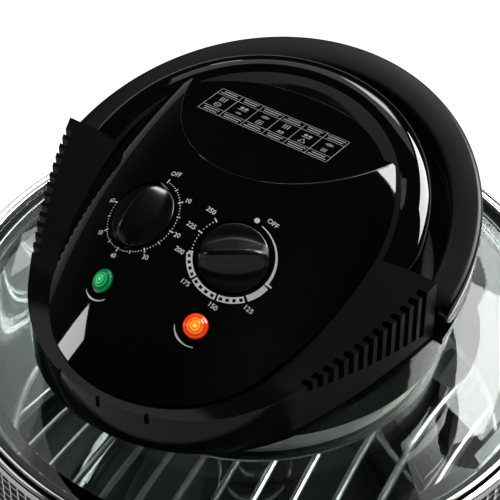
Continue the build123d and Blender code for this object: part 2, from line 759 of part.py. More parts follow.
def tube_holders():
    """Two ceramic blocks that hold the tube's ends under the reflector's slope."""
    outer_r = TUBE_ORBIT_R + HOLDER_W / 2
    inner_r = TUBE_ORBIT_R - HOLDER_W / 2
    top = reflector_height(outer_r) - SEAT
    brick = block(inner_r, outer_r, -HOLDER_HALF_T, HOLDER_HALF_T, TUBE_Z - HOLDER_DROP, top)
    angles = [90 + side * (TUBE_GAP_DEG / 2 + HOLDER_SHIFT_DEG) for side in (-1, 1)]
    room = tube_ring(TUBE_R + 2 * SEAT, 360)
    return group([Rot(Z=angle) * brick - room for angle in angles])


def fan_guard():
    high = -LID_GLASS_T - CLAMP_T
    low = high - GUARD_PLATE_T
    outer_r = SPACER_ORBIT_R - SCREW_HEAD_R - GAP
    rim = washer(outer_r - GUARD_RIM_W, outer_r, low, high)
    mid = washer(GUARD_MID_R, GUARD_MID_R + GUARD_MID_W, low, high)
    hub = upright(GUARD_HUB_R, low, high)
    half_w = GUARD_SPOKE_W / 2
    spoke = block(GUARD_HUB_R - half_w, outer_r - GUARD_RIM_W / 2, -half_w, half_w, low, high)
    return fused([rim, mid, hub] + around(GUARD_SPOKES, spoke))


# ---- Plan outlines and height surfaces of the housing ------------------------------------------------
def cover_outline():
    """Plan of the upper cover: front skirt, two shoulders and the round crown behind."""
    x0, y0 = COVER_REAR_X, COVER_REAR_Y
    crown_x = math.sqrt(CROWN_R**2 - (y0 - CROWN_Y) ** 2)
    edges = [
        ThreePointArc((x0, y0), COVER_SIDE, COVER_JOIN),
        ThreePointArc(COVER_JOIN, (0, COVER_FRONT_Y), (-COVER_JOIN[0], COVER_JOIN[1])),
        ThreePointArc((-COVER_JOIN[0], COVER_JOIN[1]), (-COVER_SIDE[0], COVER_SIDE[1]), (-x0, y0)),
        Line((-x0, y0), (-crown_x, y0)),
        ThreePointArc((-crown_x, y0), (0, CROWN_Y + CROWN_R), (crown_x, y0)),
        Line((crown_x, y0), (x0, y0)),
    ]
    return make_face(edges)


def egg_outline():
    """Plan of the control dome: egg-shaped in front, stepped in to the plateau's circle behind."""
    rear_y = CROWN_Y + EGG_REAR_R
    egg = make_face(
        [
            ThreePointArc((EGG_SIDE_X, EGG_SIDE_Y), EGG_SIDE_MID, EGG_JOIN),
            ThreePointArc(EGG_JOIN, (0, EGG_FRONT_Y), (-EGG_JOIN[0], EGG_JOIN[1])),
            ThreePointArc((-EGG_JOIN[0], EGG_JOIN[1]), (-EGG_SIDE_MID[0], EGG_SIDE_MID[1]), (-EGG_SIDE_X, EGG_SIDE_Y)),
            ThreePointArc((-EGG_SIDE_X, EGG_SIDE_Y), (0, rear_y), (EGG_SIDE_X, EGG_SIDE_Y)),
        ]
    )
    behind = Pos(0, RISER_FRONT_Y + REACH / 2) * Rectangle(REACH, REACH)
    return egg - (behind - Pos(0, CROWN_Y) * Circle(PLATEAU_R))


def under_top(drop=0.0):
    """Everything under the cover's top line, which is one profile drawn across the whole width."""
    lean = (TOP_BREAK[0] - TOP_KNEE[0], TOP_BREAK[1] - TOP_KNEE[1])
    floor = -60.0
    edges = [
        TangentArc(TOP_KNEE, TOP_FRONT, tangent=(-lean[0], -lean[1])),
        Line(TOP_KNEE, TOP_BREAK),
        TangentArc(TOP_BREAK, TOP_REAR, tangent=lean),
        Line(TOP_REAR, (TOP_REAR[0], floor)),
        Line((TOP_REAR[0], floor), (TOP_FRONT[0], floor)),
        Line((TOP_FRONT[0], floor), TOP_FRONT),
    ]
    return Pos(0, 0, -drop) * extrude(Plane.YZ * make_face(edges), REACH, both=True)


def parting_height(y):
    return PARTING_FRONT_Z + PARTING_SLOPE * (y - PARTING_KNEE_Y)


def below_parting(drop=0.0):
    """Everything below the joint line of the two housings: flat in front, rising to the rear."""
    return Pos(0, 0, -drop) * across(
        (-REACH, -60),
        (-REACH, PARTING_FRONT_Z),
        (PARTING_KNEE_Y, PARTING_FRONT_Z),
        (REACH, parting_height(REACH)),
        (REACH, -60),
    )


def dome(inset=0.0):
    """The body that the control dome is cut from: an arc across the oven, swung on a wide arc front to back."""
    return Pos(0, DOME_Y, DOME_Z) * (Rot(Y=90) * Torus(DOME_LONG_R - DOME_CROSS_R, DOME_CROSS_R - inset))


def dome_plane(x, y):
    """A plane on the dome's skin over a plan point, with Z outwards and Y uphill."""
    cross = math.sqrt(DOME_CROSS_R**2 - x**2)
    reach = DOME_LONG_R - DOME_CROSS_R + cross
    rise = math.sqrt(reach**2 - (y - DOME_Y) ** 2)
    normal = Vector(x, cross * (y - DOME_Y) / reach, cross * rise / reach)
    return Plane((x, y, DOME_Z + rise), x_dir=Vector(0, 1, 0).cross(normal), z_dir=normal)


def plateau_cut(drop=0.0):
    """Everything above the flat plateau on top of the dome."""
    low_y, high_y = -REACH, REACH
    return Pos(0, 0, -drop) * across(
        (low_y, PLATEAU_Z + PLATEAU_SLOPE * low_y),
        (high_y, PLATEAU_Z + PLATEAU_SLOPE * high_y),
        (high_y, REACH),
        (low_y, REACH),
    )


def segment(radius, height_at, slope):
    """A circle about the crown's centre cut off at the riser's front, laid on a tilted plane."""
    half = math.sqrt(radius**2 - (RISER_FRONT_Y - CROWN_Y) ** 2)
    far = CROWN_Y + radius
    lift = [height_at + slope * y for y in (RISER_FRONT_Y, far)]
    right, rear, left = (half, RISER_FRONT_Y, lift[0]), (0, far, lift[1]), (-half, RISER_FRONT_Y, lift[0])
    return make_face([ThreePointArc(right, rear, left), Line(left, right)])


def riser_cut():
    """The sloped riser round the rear of the plateau, from its circle up to the crown's ridge."""
    # The slope starts a little inside the dome's hole, so that the two cuts cross cleanly.
    foot = segment(PLATEAU_R - RISER_LEAD, PLATEAU_Z - RISER_LEAD, PLATEAU_SLOPE)
    ridge = segment(EGG_REAR_R + SEAT, RIDGE_Z + 2 * RISER_LEAD, RIDGE_SLOPE)
    top = segment(EGG_REAR_R + SEAT, RIDGE_Z + DOME_SKIRT, RIDGE_SLOPE)
    return loft([foot, ridge], ruled=True) + loft([ridge, top], ruled=True)


# ---- Housings ------------------------------------------------------------------------------------
def arm_boss():
    root = LOBE_R - ARM_BOSS_ROOT
    boss = block(-ARM_BOSS_HALF_W, ARM_BOSS_HALF_W, root, ARM_BOSS_Y, ARM_BOSS_Z, ARM_BOSS_Z + ARM_BOSS_H)
    depth = ARM_SCREW_L + GAP
    holes = [rod(SCREW_R + SEAT, (x, y, z), (x, y - depth, z)) for x, y, z in arm_screw_places()]
    return boss, fused(holes)


def lower_housing():
    top = parting_height(LOBE_TOP_R) + WALL
    lobe = turned(
        (0, COLLAR_H),
        (LOBE_R, COLLAR_H),
        (LOBE_R, LOBE_STEP_Z),
        (LOBE_TOP_R, LOBE_STEP_Z + LOBE_STEP_H),
        (LOBE_TOP_R, top),
        (0, top),
    )
    rear_deck = (Pos(0, HANDLE_Y) * Circle(HANDLE_R - DECK_OVERHANG)) & (Pos(0, REACH / 2 + COVER_REAR_Y) * Rectangle(REACH, REACH))
    deck = column(cover_outline() + rear_deck, 0, top) - below_parting(DECK_T)
    room = Circle(LOBE_R - WALL)
    floor_top = COLLAR_H + WALL
    cavity = column(room, floor_top, top + WALL) & below_parting(DECK_T)
    mouth = column(room & offset(cover_outline(), amount=-WALL), floor_top, top + WALL)
    bosses = [
        upright(POST_BOSS_R, COLLAR_H, POST_BOSS_TOP, side * x, y) for side in (-1, 1) for x, y in POST_BOSSES
    ]
    boss, holes = arm_boss()
    body = (lobe + deck) & below_parting()
    body = body - cavity - mouth + boss + fused(bosses)
    body = body - upright(DRIVE_SHAFT_R + SHAFT_ROOM, 0, floor_top + GAP) - holes
    body = body - inlet_solid(INLET_NECK_R + SEAT, LOBE_FLARE + 4 * WALL)
    return body - fused(spacer_ring(SCREW_R + SEAT, 0, floor_top + GAP))


def cover_cavity(egg):
    plan = cover_outline()
    inner = offset(plan, amount=-WALL)
    strip = Pos(0, COVER_REAR_Y - REACH / 2) * Rectangle(REACH, REACH)
    thick = offset(plan, amount=-SLOT_WALL) & strip
    front = Pos(0, SLOT_FIRST_Y - SLOT_COUNT * SLOT_PITCH - REACH / 2) * Rectangle(REACH, REACH)
    room = (inner - strip) + thick + (inner & front)
    low = column(room) & under_top(DOME_SKIRT)
    high = column(room - offset(egg, amount=SEAT + WALL)) & under_top(WALL)
    return low + high


def comb_slots():
    slots = []
    for i in range(SLOT_COUNT):
        y = SLOT_FIRST_Y - i * SLOT_PITCH
        edge = side_edge_x(y)
        for side in (-1, 1):
            x0, x1 = sorted((side * (edge - SLOT_DEPTH), side * (edge + SLOT_WALL)))
            slots.append(block(x0, x1, y - SLOT_W / 2, y + SLOT_W / 2, SLOT_FLOOR_Z, PLATEAU_Z))
    return fused(slots)


def side_edge_x(y):
    """Half width of the cover's shoulder at a depth."""
    arc = ThreePointArc((COVER_REAR_X, COVER_REAR_Y), COVER_SIDE, COVER_JOIN)
    centre, radius = arc.arc_center, arc.radius
    return centre.X + math.sqrt(radius**2 - (y - centre.Y) ** 2)


def notches():
    front = []
    arc = ThreePointArc(COVER_JOIN, (0, COVER_FRONT_Y), (-COVER_JOIN[0], COVER_JOIN[1]))
    for x in NOTCH_XS:
        y = arc.arc_center.Y - math.sqrt(arc.radius**2 - x**2)
        low = TOP_FRONT[1] - 2 * NOTCH_H
        front.append(block(x - NOTCH_W / 2, x + NOTCH_W / 2, y - WALL, y + NOTCH_DEPTH, low, TOP_KNEE[1]))
    return fused(front) - under_top(NOTCH_H)


def pivot_holes():
    return rod(PIVOT_R + SEAT, (-REACH, 0, HANDLE_PIVOT_Z), (REACH, 0, HANDLE_PIVOT_Z))


def upper_cover():
    egg = egg_outline()
    outer = column(cover_outline()) & under_top()
    crest = outer.edges().filter_by(GeomType.BSPLINE) + outer.edges().filter_by(GeomType.ELLIPSE)
    crest = [edge for edge in crest if edge.center().Y > RISER_FRONT_Y and edge.center().Z > TOP_KNEE[1]]
    outer = chamfer(crest, CROWN_EDGE)
    body = outer - below_parting() - cover_cavity(egg)
    body = body - column(offset(egg, amount=SEAT)) - riser_cut()
    return body - comb_slots() - notches() - pivot_holes()


def control_dome():
    egg = egg_outline()
    shell = dome() & column(egg, 0)
    shell = shell - plateau_cut() - under_top(DOME_SKIRT - SEAT)
    inside = (dome(WALL) & column(offset(egg, amount=-WALL), 0)) - plateau_cut(WALL)
    dials = [dome_plane(side * DIAL_X, DIAL_Y) for side in (-1, 1)]
    lamps = [dome_plane(side * LAMP_X, LAMP_Y) for side in (-1, 1)]
    panel = shell - inside
    well_r = KNOB_R + DIAL_MARGIN
    for place in dials:
        boss = place * upright(well_r + DIAL_WALL, -DIAL_BOSS_DEPTH, DIAL_BOSS_DEPTH)
        panel = panel + (boss & dome())
        panel = panel - place * upright(well_r, -DIAL_RECESS, REACH)
        panel = panel - place * upright(KNOB_SHAFT_R + RUN, -2 * DIAL_BOSS_DEPTH, 0)
    for place in lamps:
        panel = panel - place * Cylinder(LENS_R + SEAT, 2 * DOME_SKIRT)
    columns = [
        upright(POST_BOSS_R, POST_BOSS_TOP, PLATEAU_Z, side * x, y) for side in (-1, 1) for x, y in POST_BOSSES
    ]
    within = dome(WALL / 2) - plateau_cut(WALL / 2)
    return panel + (fused(columns) & within)


def dial_plane(side):
    return dome_plane(side * DIAL_X, DIAL_Y)


def knob(side, turn):
    """A crowned dial with a boat-shaped grip across it, and its shaft down into the unit behind the panel."""
    base = -DIAL_RECESS + GAP
    edge = base + KNOB_T
    crown = edge + KNOB_CROWN_RISE
    disc = turned((0, base), (KNOB_R, base), (KNOB_R, edge), (KNOB_CROWN_R, crown), (0, crown))
    foot = Pos(0, 0, edge) * Ellipse(KNOB_GRIP_FOOT[1], KNOB_GRIP_FOOT[0])
    top = Pos(0, 0, edge + KNOB_GRIP_RISE) * Ellipse(KNOB_GRIP_TOP[1], KNOB_GRIP_TOP[0])
    grip = loft([foot, top], ruled=True)
    shaft = upright(KNOB_SHAFT_R, -KNOB_SHAFT_L, edge)
    return dial_plane(side) * (Rot(Z=turn) * (disc + grip + shaft))


def dial_unit(side):
    box = Pos(0, 0, -DIAL_BOSS_DEPTH - UNIT_H) * extrude(RectangleRounded(UNIT_W, UNIT_L, UNIT_CORNER_R), UNIT_H)
    bore = upright(KNOB_SHAFT_R + RUN, -KNOB_SHAFT_L - GAP, 5)
    return dial_plane(side) * (box - bore)


def lamp_plane(side):
    return dome_plane(side * LAMP_X, LAMP_Y)


def lens(side):
    low = -LENS_SEAT - LENS_FLANGE_T
    shoulder = LENS_RISE / 2
    return lamp_plane(side) * turned(
        (0, low),
        (LENS_FLANGE_R, low),
        (LENS_FLANGE_R, -LENS_SEAT),
        (LENS_R, -LENS_SEAT),
        (LENS_R, shoulder),
        (LENS_R / 2, LENS_RISE),
        (0, LENS_RISE),
    )


def lamp_holders():
    top = -LENS_SEAT - LENS_FLANGE_T
    holder = upright(HOLDER_R, top - HOLDER_L, top)
    return group([lamp_plane(side) * holder for side in (-1, 1)])


# ---- Drive ---------------------------------------------------------------------------------------
def motor():
    top = MOTOR_Z + MOTOR_H
    can = turned(
        (0, MOTOR_Z),
        (MOTOR_R, MOTOR_Z),
        (MOTOR_R, top - MOTOR_CORNER),
        (MOTOR_R - MOTOR_CORNER, top),
        (0, top),
    )
    return can - upright(DRIVE_SHAFT_R + RUN, MOTOR_Z - GAP, top - SHAFT_END + GAP)


def motor_bracket():
    low = MOTOR_Z - BRACKET_PLATE_T
    plate = upright(BRACKET_PLATE_R, low, MOTOR_Z) - upright(DRIVE_SHAFT_R + SHAFT_ROOM, low - GAP, MOTOR_Z + GAP)
    leg = upright(BRACKET_LEG_R, COLLAR_H + WALL, low + GAP, BRACKET_LEG_ORBIT_R, 0)
    return fused([plate] + around(BRACKET_LEGS, leg))


def motor_shaft():
    return upright(DRIVE_SHAFT_R, STIR_FAN_Z, MOTOR_Z + MOTOR_H - SHAFT_END)


def fan(radius, height, low, hub_low):
    """A hub with pitched flat blades, bored for the motor shaft."""
    blade_low = FAN_HUB_R - FAN_BLADE_T
    blade = Pos((radius + blade_low) / 2, 0, low + height / 2) * (
        Rot(X=FAN_PITCH_DEG) * Box(radius - blade_low, height, FAN_BLADE_T)
    )
    hub = upright(FAN_HUB_R, hub_low, low + height)
    bore = upright(DRIVE_SHAFT_R + SEAT, hub_low - height, low + 2 * height)
    return fused([hub] + around(FAN_BLADES, blade)) - bore


def cooling_fan():
    return fan(COOLING_FAN_R, COOLING_FAN_H, COOLING_FAN_Z, COOLING_FAN_Z)


def convection_fan():
    return fan(STIR_FAN_R, STIR_FAN_H, STIR_FAN_Z, STIR_FAN_Z)


# ---- Carry handle --------------------------------------------------------------------------------
def handle_ring():
    half = HANDLE_T / 2
    outer = Pos(0, HANDLE_Y) * Circle(HANDLE_R)
    inner = Pos(0, HANDLE_Y) * Circle(HANDLE_INNER_R)
    behind = Pos(0, REACH / 2 - half) * Rectangle(REACH, REACH)
    plan = (outer - inner) & behind
    side = Pos(0, HANDLE_PIVOT_Z) * (Rot(Z=HANDLE_SLOPE_DEG) * (Pos(HANDLE_R, 0) * SlotCenterToCenter(2 * HANDLE_R, HANDLE_T)))
    ring = column(plan, 0, REACH / 2) & extrude(Plane.YZ * side, REACH / 2, both=True)
    arcs = [edge for edge in ring.edges() if edge.length > HANDLE_R]
    arcs = sorted(arcs, key=lambda edge: edge.center().Z)
    ring = chamfer(arcs[2:], HANDLE_EDGE)
    bore = HANDLE_INNER_R + PIVOT_REACH
    return ring - rod(PIVOT_R + RUN, (-bore, 0, HANDLE_PIVOT_Z), (bore, 0, HANDLE_PIVOT_Z))


def handle_pivots():
    wall_x = math.sqrt(CROWN_R**2 - CROWN_Y**2)
    inner_x = math.sqrt(HANDLE_INNER_R**2 - (HANDLE_T / 2 - HANDLE_Y) ** 2) - GAP
    shoulder = rod(PIVOT_SHOULDER_R, (wall_x - PIVOT_ROOT, 0, HANDLE_PIVOT_Z), (inner_x, 0, HANDLE_PIVOT_Z))
    shoulder = shoulder - Pos(0, CROWN_Y, 0) * upright(CROWN_R + SEAT, 0, REACH)
    end_x = HANDLE_INNER_R + PIVOT_REACH - GAP
    pin = rod(PIVOT_R, (wall_x - PIVOT_ROOT, 0, HANDLE_PIVOT_Z), (end_x, 0, HANDLE_PIVOT_Z))
    right = shoulder + pin
    return group([right, mirror(right, about=Plane.YZ)])


# ---- Cord inlet ----------------------------------------------------------------------------------
def inlet_solid(radius, inward):
    angle = math.radians(INLET_DEG)
    direction = Vector(math.cos(angle), math.sin(angle), 0)
    start = direction * (LOBE_TOP_R - inward)
    end = direction * (LOBE_TOP_R + INLET_LENGTH)
    return rod(radius, (start.X, start.Y, INLET_Z), (end.X, end.Y, INLET_Z))


def cord_inlet():
    collar_part = inlet_solid(INLET_R, INLET_ROOT) - upright(LOBE_TOP_R + SEAT, 0, REACH)
    neck = inlet_solid(INLET_NECK_R, INLET_NECK_L)
    return collar_part + neck - inlet_solid(INLET_BORE_R, INLET_NECK_L + INLET_LENGTH)


# ---- Files ---------------------------------------------------------------------------------------
STAND_NODES = {
    "feet": feet,
    "base_tray": base_tray,
    "stand_posts": stand_posts,
    "support_ring": support_ring,
    "rim_band": rim_band,
    "guard_mesh": guard_mesh,
    "glass_bowl": glass_bowl,
    "wire_rack": wire_rack,
    "side_grip_left": lambda: side_grip(-1),
    "side_grip_right": lambda: side_grip(1),
    "side_grip_screws": grip_screws,
    "hinge_bracket": hinge_bracket,
    "hinge_bracket_screws": bracket_screws,
    "hinge_pin": hinge_pin,
}

HEAD_NODES = {
    "lid_glass": lid_glass,
    "rim_gasket": rim_gasket,
    "lid_rim": lid_rim,
    "lid_arm": lid_arm,
    "lid_arm_screws": lid_arm_screws,
    "collar": collar,
    "clamp_ring": clamp_ring,
    "clamp_spacers": clamp_spacers,
    "clamp_screws": clamp_screws,
    "reflector": reflector,
    "halogen_tube": halogen_tube,
    "tube_holders": tube_holders,
    "fan_guard": fan_guard,
    "lower_housing": lower_housing,
    "upper_cover": upper_cover,
    "control_dome": control_dome,
    "timer_unit": lambda: dial_unit(-1),
    "thermostat_unit": lambda: dial_unit(1),
    "timer_knob": lambda: knob(-1, TIMER_TURN),
    "thermostat_knob": lambda: knob(1, THERMOSTAT_TURN),
    "power_lens": lambda: lens(-1),
    "heat_lens": lambda: lens(1),
    "lamp_holders": lamp_holders,
    "motor": motor,
    "motor_bracket": motor_bracket,
    "motor_shaft": motor_shaft,
    "cooling_fan": cooling_fan,
    "convection_fan": convection_fan,
    "handle_ring": handle_ring,
    "handle_pivots": handle_pivots,
    "cord_inlet": cord_inlet,
}


def write(name, shape):
    shape.label = name
    export_step(shape, f"parts/{name}.step")


os.makedirs("parts", exist_ok=True)
for node, make in STAND_NODES.items():
    write(node, make())
for node, make in HEAD_NODES.items():
    write(node, HEAD * make())
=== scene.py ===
"""Looks of a countertop halogen oven: finishes, dial prints, fine wire, softened edges and a studio."""
import json
import math

import bmesh
import bpy
from bpy.props import FloatProperty, IntProperty, PointerProperty
from bpy.types import Operator, Panel, PropertyGroup
from mathutils import Matrix, Vector

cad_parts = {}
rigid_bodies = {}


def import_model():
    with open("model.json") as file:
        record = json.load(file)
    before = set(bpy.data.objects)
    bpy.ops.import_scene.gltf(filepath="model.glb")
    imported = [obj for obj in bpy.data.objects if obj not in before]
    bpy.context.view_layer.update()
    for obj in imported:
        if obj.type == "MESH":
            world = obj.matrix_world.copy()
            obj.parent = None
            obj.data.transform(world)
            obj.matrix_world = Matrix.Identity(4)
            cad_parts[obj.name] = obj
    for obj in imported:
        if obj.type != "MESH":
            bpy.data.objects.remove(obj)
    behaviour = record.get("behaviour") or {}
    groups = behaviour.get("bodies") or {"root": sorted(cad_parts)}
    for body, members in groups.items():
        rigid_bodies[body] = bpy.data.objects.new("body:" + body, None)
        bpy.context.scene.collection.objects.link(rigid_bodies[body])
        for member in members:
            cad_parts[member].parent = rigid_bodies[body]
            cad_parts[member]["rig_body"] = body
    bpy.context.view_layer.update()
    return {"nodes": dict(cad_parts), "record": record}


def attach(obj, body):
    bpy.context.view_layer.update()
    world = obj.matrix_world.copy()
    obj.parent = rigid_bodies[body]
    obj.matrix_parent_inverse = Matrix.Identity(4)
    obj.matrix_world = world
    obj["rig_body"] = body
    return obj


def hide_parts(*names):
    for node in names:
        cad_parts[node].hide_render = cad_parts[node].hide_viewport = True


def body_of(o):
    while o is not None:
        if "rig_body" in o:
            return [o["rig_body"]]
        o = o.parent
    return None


bl_info = {
    "name": "Halogen oven looks",
    "version": (1, 0, 0),
    "blender": (4, 5, 0),
    "location": "3D Viewport > Sidebar > Oven",
    "description": "Builds the looks of a countertop halogen oven around its CAD frame",
    "category": "Object",
}

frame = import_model()

MM = 0.001
TURN = 2 * math.pi
GLASS_Z = 0.2217  # the lid glass's top face above the ground, in metres
LIFT = GLASS_Z / MM

# Housing, in millimetres about the middle of the lid glass's top face.
CROWN_R, CROWN_Y = 98.0, -18.0
COVER_REAR_Y = -10.0
TOP_KNEE_Y, TOP_BREAK_Y = -70.0, -8.0
TOP_BREAK_Z, TOP_SLOPE = 95.0, 0.4
TOP_FRONT_ARC = (-146.9, 262.4, 207.05)
TOP_REAR_ARC = (179.6, -374.1, 505.2)
DOME_Y, DOME_Z, DOME_LONG_R, DOME_CROSS_R = 58.7, -130.6, 268.9, 109.0
PLATEAU_Z, PLATEAU_SLOPE = 120.9, -0.12
DIAL_X, DIAL_Y = 28.2, -61.6
LAMP_X, LAMP_Y = 28.6, -95.1
LENS_R = 6.5
HANDLE_INNER_R, HANDLE_R, HANDLE_Y, HANDLE_Z = 104.9, 121.8, -7.0, 70.3
HANDLE_SLOPE = math.radians(15.2)
HANDLE_T = 17.0
HANDLE_EDGE, HANDLE_EDGE_STEPS = 3.2, 4
HANDLE_END_MARKS, HANDLE_MARKS = 14, 150
HANDLE_END_STEP, HANDLE_END_GROWTH = 0.0030, 1.9
HANDLE_TOP_FACING = 0.75  # faces that look up at least this much are satin

# The crown's crescent and the crease in front of the plateau, in millimetres.
CRESCENT_SWELL, CRESCENT_LIFT = 1.5, 0.04
CRESCENT_HEM, CRESCENT_HEM_IN, CRESCENT_ROOT = 6.0, 3.0, 5.0
CRESCENT_END_SHARE, CRESCENT_END_ROWS = 0.15, 9
CREASE_HALF_W, CREASE_LOW_Y, CREASE_HALVINGS = 62, -80.0, 40
CREASE_DROP = 0.7  # how far the crease keeps under the plateau, as a share of its bury

# Dials: sizes in millimetres, turns in degrees from straight uphill.
TIMER_TURN, HEAT_TURN = -16.0, 127.0
KNOB_R, KNOB_FACE_R = 18.0, 17.6
KNOB_EDGE = ((17.9, -0.95), (KNOB_R, -1.3), (KNOB_R, -3.7), (0.0, -3.7))
KNOB_EDGE_Z, KNOB_CROWN = -0.7, 1.7
SCOOP_DEPTH, SCOOP_OUT, SCOOP_W, SCOOP_REACH = 1.1, 2.0, 2.6, 15.0
GRIP_END_W, GRIP_SWELL = 5.4, 4.0
GRIP_RIDGE, GRIP_RIDGE_CROWN = 0.16, 0.03  # share of the width that is the rounded ridge, and its crown
GRIP_FLANK, GRIP_ENDS, GRIP_GAIN, GRIP_SAG = 1.35, 7, 1.16, 0.10

# Lamp lenses, in millimetres; shares are of the lens's radius.
LENS_RISE, LENS_BULGE = 2.9, 2.6
LENS_RINGS, LENS_RIPPLE, LENS_RIPPLE_FADE, LENS_RIPPLE_END = 5, 0.16, 0.3, 0.93
LENS_STEP, LENS_RIM_SHARE, LENS_RIM_Z, LENS_FOOT_Z = 0.1, 0.97, 0.35, -3.0

# Prints on the dome: radii and widths in millimetres, angles clockwise from uphill in degrees.
PRINT_LIFT = 0.06
TIMER_OFF, TIMER_MINUTE = 15.6, 4.45
TEN_MARK, FIVE_MARK, FIRST_HEAT_MARK = (21.7, 2.6, 0.75), (21.5, 1.9, 0.6), (22.3, 3.8, 0.9)
MINUTE_DOT, HEAT_DOT, LAST_HEAT_DOT = (21.3, 0.34), (21.2, 0.36), (22.3, 1.5)
TIMER_NUMBER_R, TIMER_WORD_R, TIMER_WORD_SHIFT = 25.6, 26.2, (1.0, 0.4)
HEAT_NUMBER_R, HEAT_NUMBER_SPREAD, HEAT_WORD_R, HEAT_WORD_SHIFT = 26.6, 0.9, 26.0, (1.2, 0.0)
HEAT_SEGMENTS, HEAT_SEGMENT_GAP = ((242, 205), (205, 165), (165, 127)), 1.4
HEAT_RAILS = ((20.9, 0.9), (23.3, 0.7))
HEAT_BLOCKS, HEAT_BLOCK_REACH, HEAT_BLOCK_R, HEAT_BLOCK_W = 5, 0.062, 22.1, 1.8
HEAT_ANGLES = {250: 298, 225: 272, 200: 242, 175: 205, 150: 165, 125: 127}
HEAT_MARK, HEAT_MARK_ANGLES = (21.6, 2.6, 0.75), (298, 272, 242)
HEAT_DOT_ANGLES = (293, 288, 283, 278, 267, 262, 257, 252, 247)
FIRST_HEAT_ANGLE, LAST_HEAT_ANGLE, HEAT_WORD_ANGLE = 92, -6, 8
# Arcs: radius, start, end, width at the start, width at the end.
HEAT_ARCS = ((22.0, 96, 125, 3.0, 3.2), (21.3, 94, 4, 1.6, 0.5))
LAMP_ARCS = ((10.6, 150, 205, 0.4, 1.1), (10.6, 205, 238, 1.1, 0.3))
LETTER_WEIGHT = 0.014  # how much letters are thickened, as a share of their size

# The guide on the plateau, in millimetres.
GUIDE_X, GUIDE_LOW, GUIDE_HIGH, GUIDE_COLUMNS = -4.6, 11.0, 34.0, 6
GUIDE_LINE, GUIDE_BAR, GUIDE_FRAME = 0.35, 0.75, 5.2
GUIDE_BAR_PLACES = (1.6, 3.5)

# Closed outlines by radius and height in millimetres, about the lid glass's top face.
LID_GLASS_OUTLINE = [(97.0, -4.0), (164.6, -4.0), (164.6, 0.0), (97.0, 0.0)]
GASKET_OUTLINE = [
    (159.8, -4.6), (165.8, -4.6), (165.8, 0.6), (164.2, 0.6),
    (164.2, 0.02), (164.7, 0.0), (164.7, -4.0), (159.8, -4.0),
]
LID_RIM_OUTLINE = [
    (159.0, -5.4), (167.0, -5.4), (167.0, 1.4), (165.1, 1.4),
    (165.1, 0.6), (165.9, 0.6), (165.9, -4.6), (159.0, -4.6),
]
COLLAR_OUTLINE = [(98.0, 0.0), (101.4, 0.0), (103.5, 20.0), (102.5, 20.0), (100.4, 1.0), (98.0, 1.0)]
DISH_OUTLINE = [
    (6.0, 19.0), (56.0, 19.0), (58.0, 18.8), (72.0, 13.0), (85.0, 8.3),
    (86.0, 8.0), (86.0, 9.0), (72.0, 14.0), (58.0, 19.9), (6.0, 20.0),
]
HUB_OUTLINE = [(0.0, -7.0), (13.0, -7.0), (15.0, -6.4), (15.0, -5.5), (0.0, -5.5)]

# The lamp tube with its filament and the wire guard, in millimetres about the lid glass.
TUBE_ORBIT_R, TUBE_R, TUBE_Z = 70.0, 4.5, 1.0
TUBE_ENDS = (math.radians(107), math.radians(433))
COIL_R, COIL_WIRE_R, COIL_TURNS, COIL_START, COIL_SHARE = 1.1, 0.28, 200, 0.02, 0.96
GUARD_RING_RADII, GUARD_RING_WIRE_R = (87.6, 70.0, 52.8, 34.0), 1.0
SPOKE_COUNT, SPOKE_WIRE_R, SPOKE_RADII, SPOKE_Z = 24, 0.85, (14.0, 50.0, 88.4), -6.3

# Bowl, rack and guard, in millimetres above the ground.
BAND_OUTLINE = [
    (168.2, 217.2), (172.3, 217.2), (172.3, 220.9), (171.3, 221.4),
    (170.6, 221.2), (170.2, 220.5), (168.2, 220.5),
]
# The bowl's two faces: foot radius, top radius, foot height, top height, corner radius.
BOWL_OUTSIDE = (143.0, 155.0, 18.0, 210.0, 40.0)
BOWL_INSIDE = (138.0, 150.0, 23.0, 215.2, 35.0)
BOWL_FLANGE = [(164.7, 210.0), (165.5, 210.8), (165.5, 215.2), (164.7, 216.0), (150.9, 216.0)]
BOWL_CORNER_STEPS = 16
RACK_R, RACK_Z, RACK_MARGIN, RACK_WIRES_RISE = 134.6, 141.0, 2.0, 0.4
RACK_RING_WIRE_R, RACK_WIRE_R, RACK_LEG_WIRE_R = 2.4, 1.8, 2.2
RACK_LEG = [(RACK_R, RACK_Z), (124.0, 110.0), (104.0, 32.0), (97.0, 25.2), (92.0, 25.2)]
GUARD_LOW, GUARD_HIGH, GUARD_R = 46.0, 217.2, 171.7
# How far the guard's parts keep inside its outer face, at their inner and outer sides; the last pair places
# the sheet of painted shade behind the mesh.
BAR_INSETS, RUNG_INSETS, HOOP_INSETS, SHADE_SHEET_INSETS = (1.2, 0.2), (0.9, 0.1), (1.4, 0.0), (1.7, 1.3)
BAR_HALF_W, RUNG_H, HOOP_H, HOOP_ROUNDING = 0.6, 0.8, 2.5, 0.4
GUARD_FACETS = 165

# Screws: first seats about the lid glass's top face, spacings and sizes, in millimetres.
BRACKET_SCREW, BRACKET_SCREW_STEP = (-7.5, 180.6, -28.0), (15.0, 0, 0)
ARM_SCREW, ARM_SCREW_STEP = (-12.5, 117.0, 32.0), (25.0, 0, 0)
CLAMP_SCREW, CLAMP_SCREW_COUNT = (93.0, 0.0, -5.5), 4
SCREW_HEAD_R, SCREW_HEAD_H, SCREW_HEAD_DROP = 3.8, 2.2, 0.42
SCREW_SHANK = ((SCREW_HEAD_R, 0.0), (2.0, 0.0), (2.0, -6.0), (0.0, -6.0))
CROSS_HALF_W, CROSS_REACH, CROSS_DEPTH = 0.42, 2.2, 0.9
FOUR_WAYS, DIAGONAL = TURN / 4, math.radians(45)

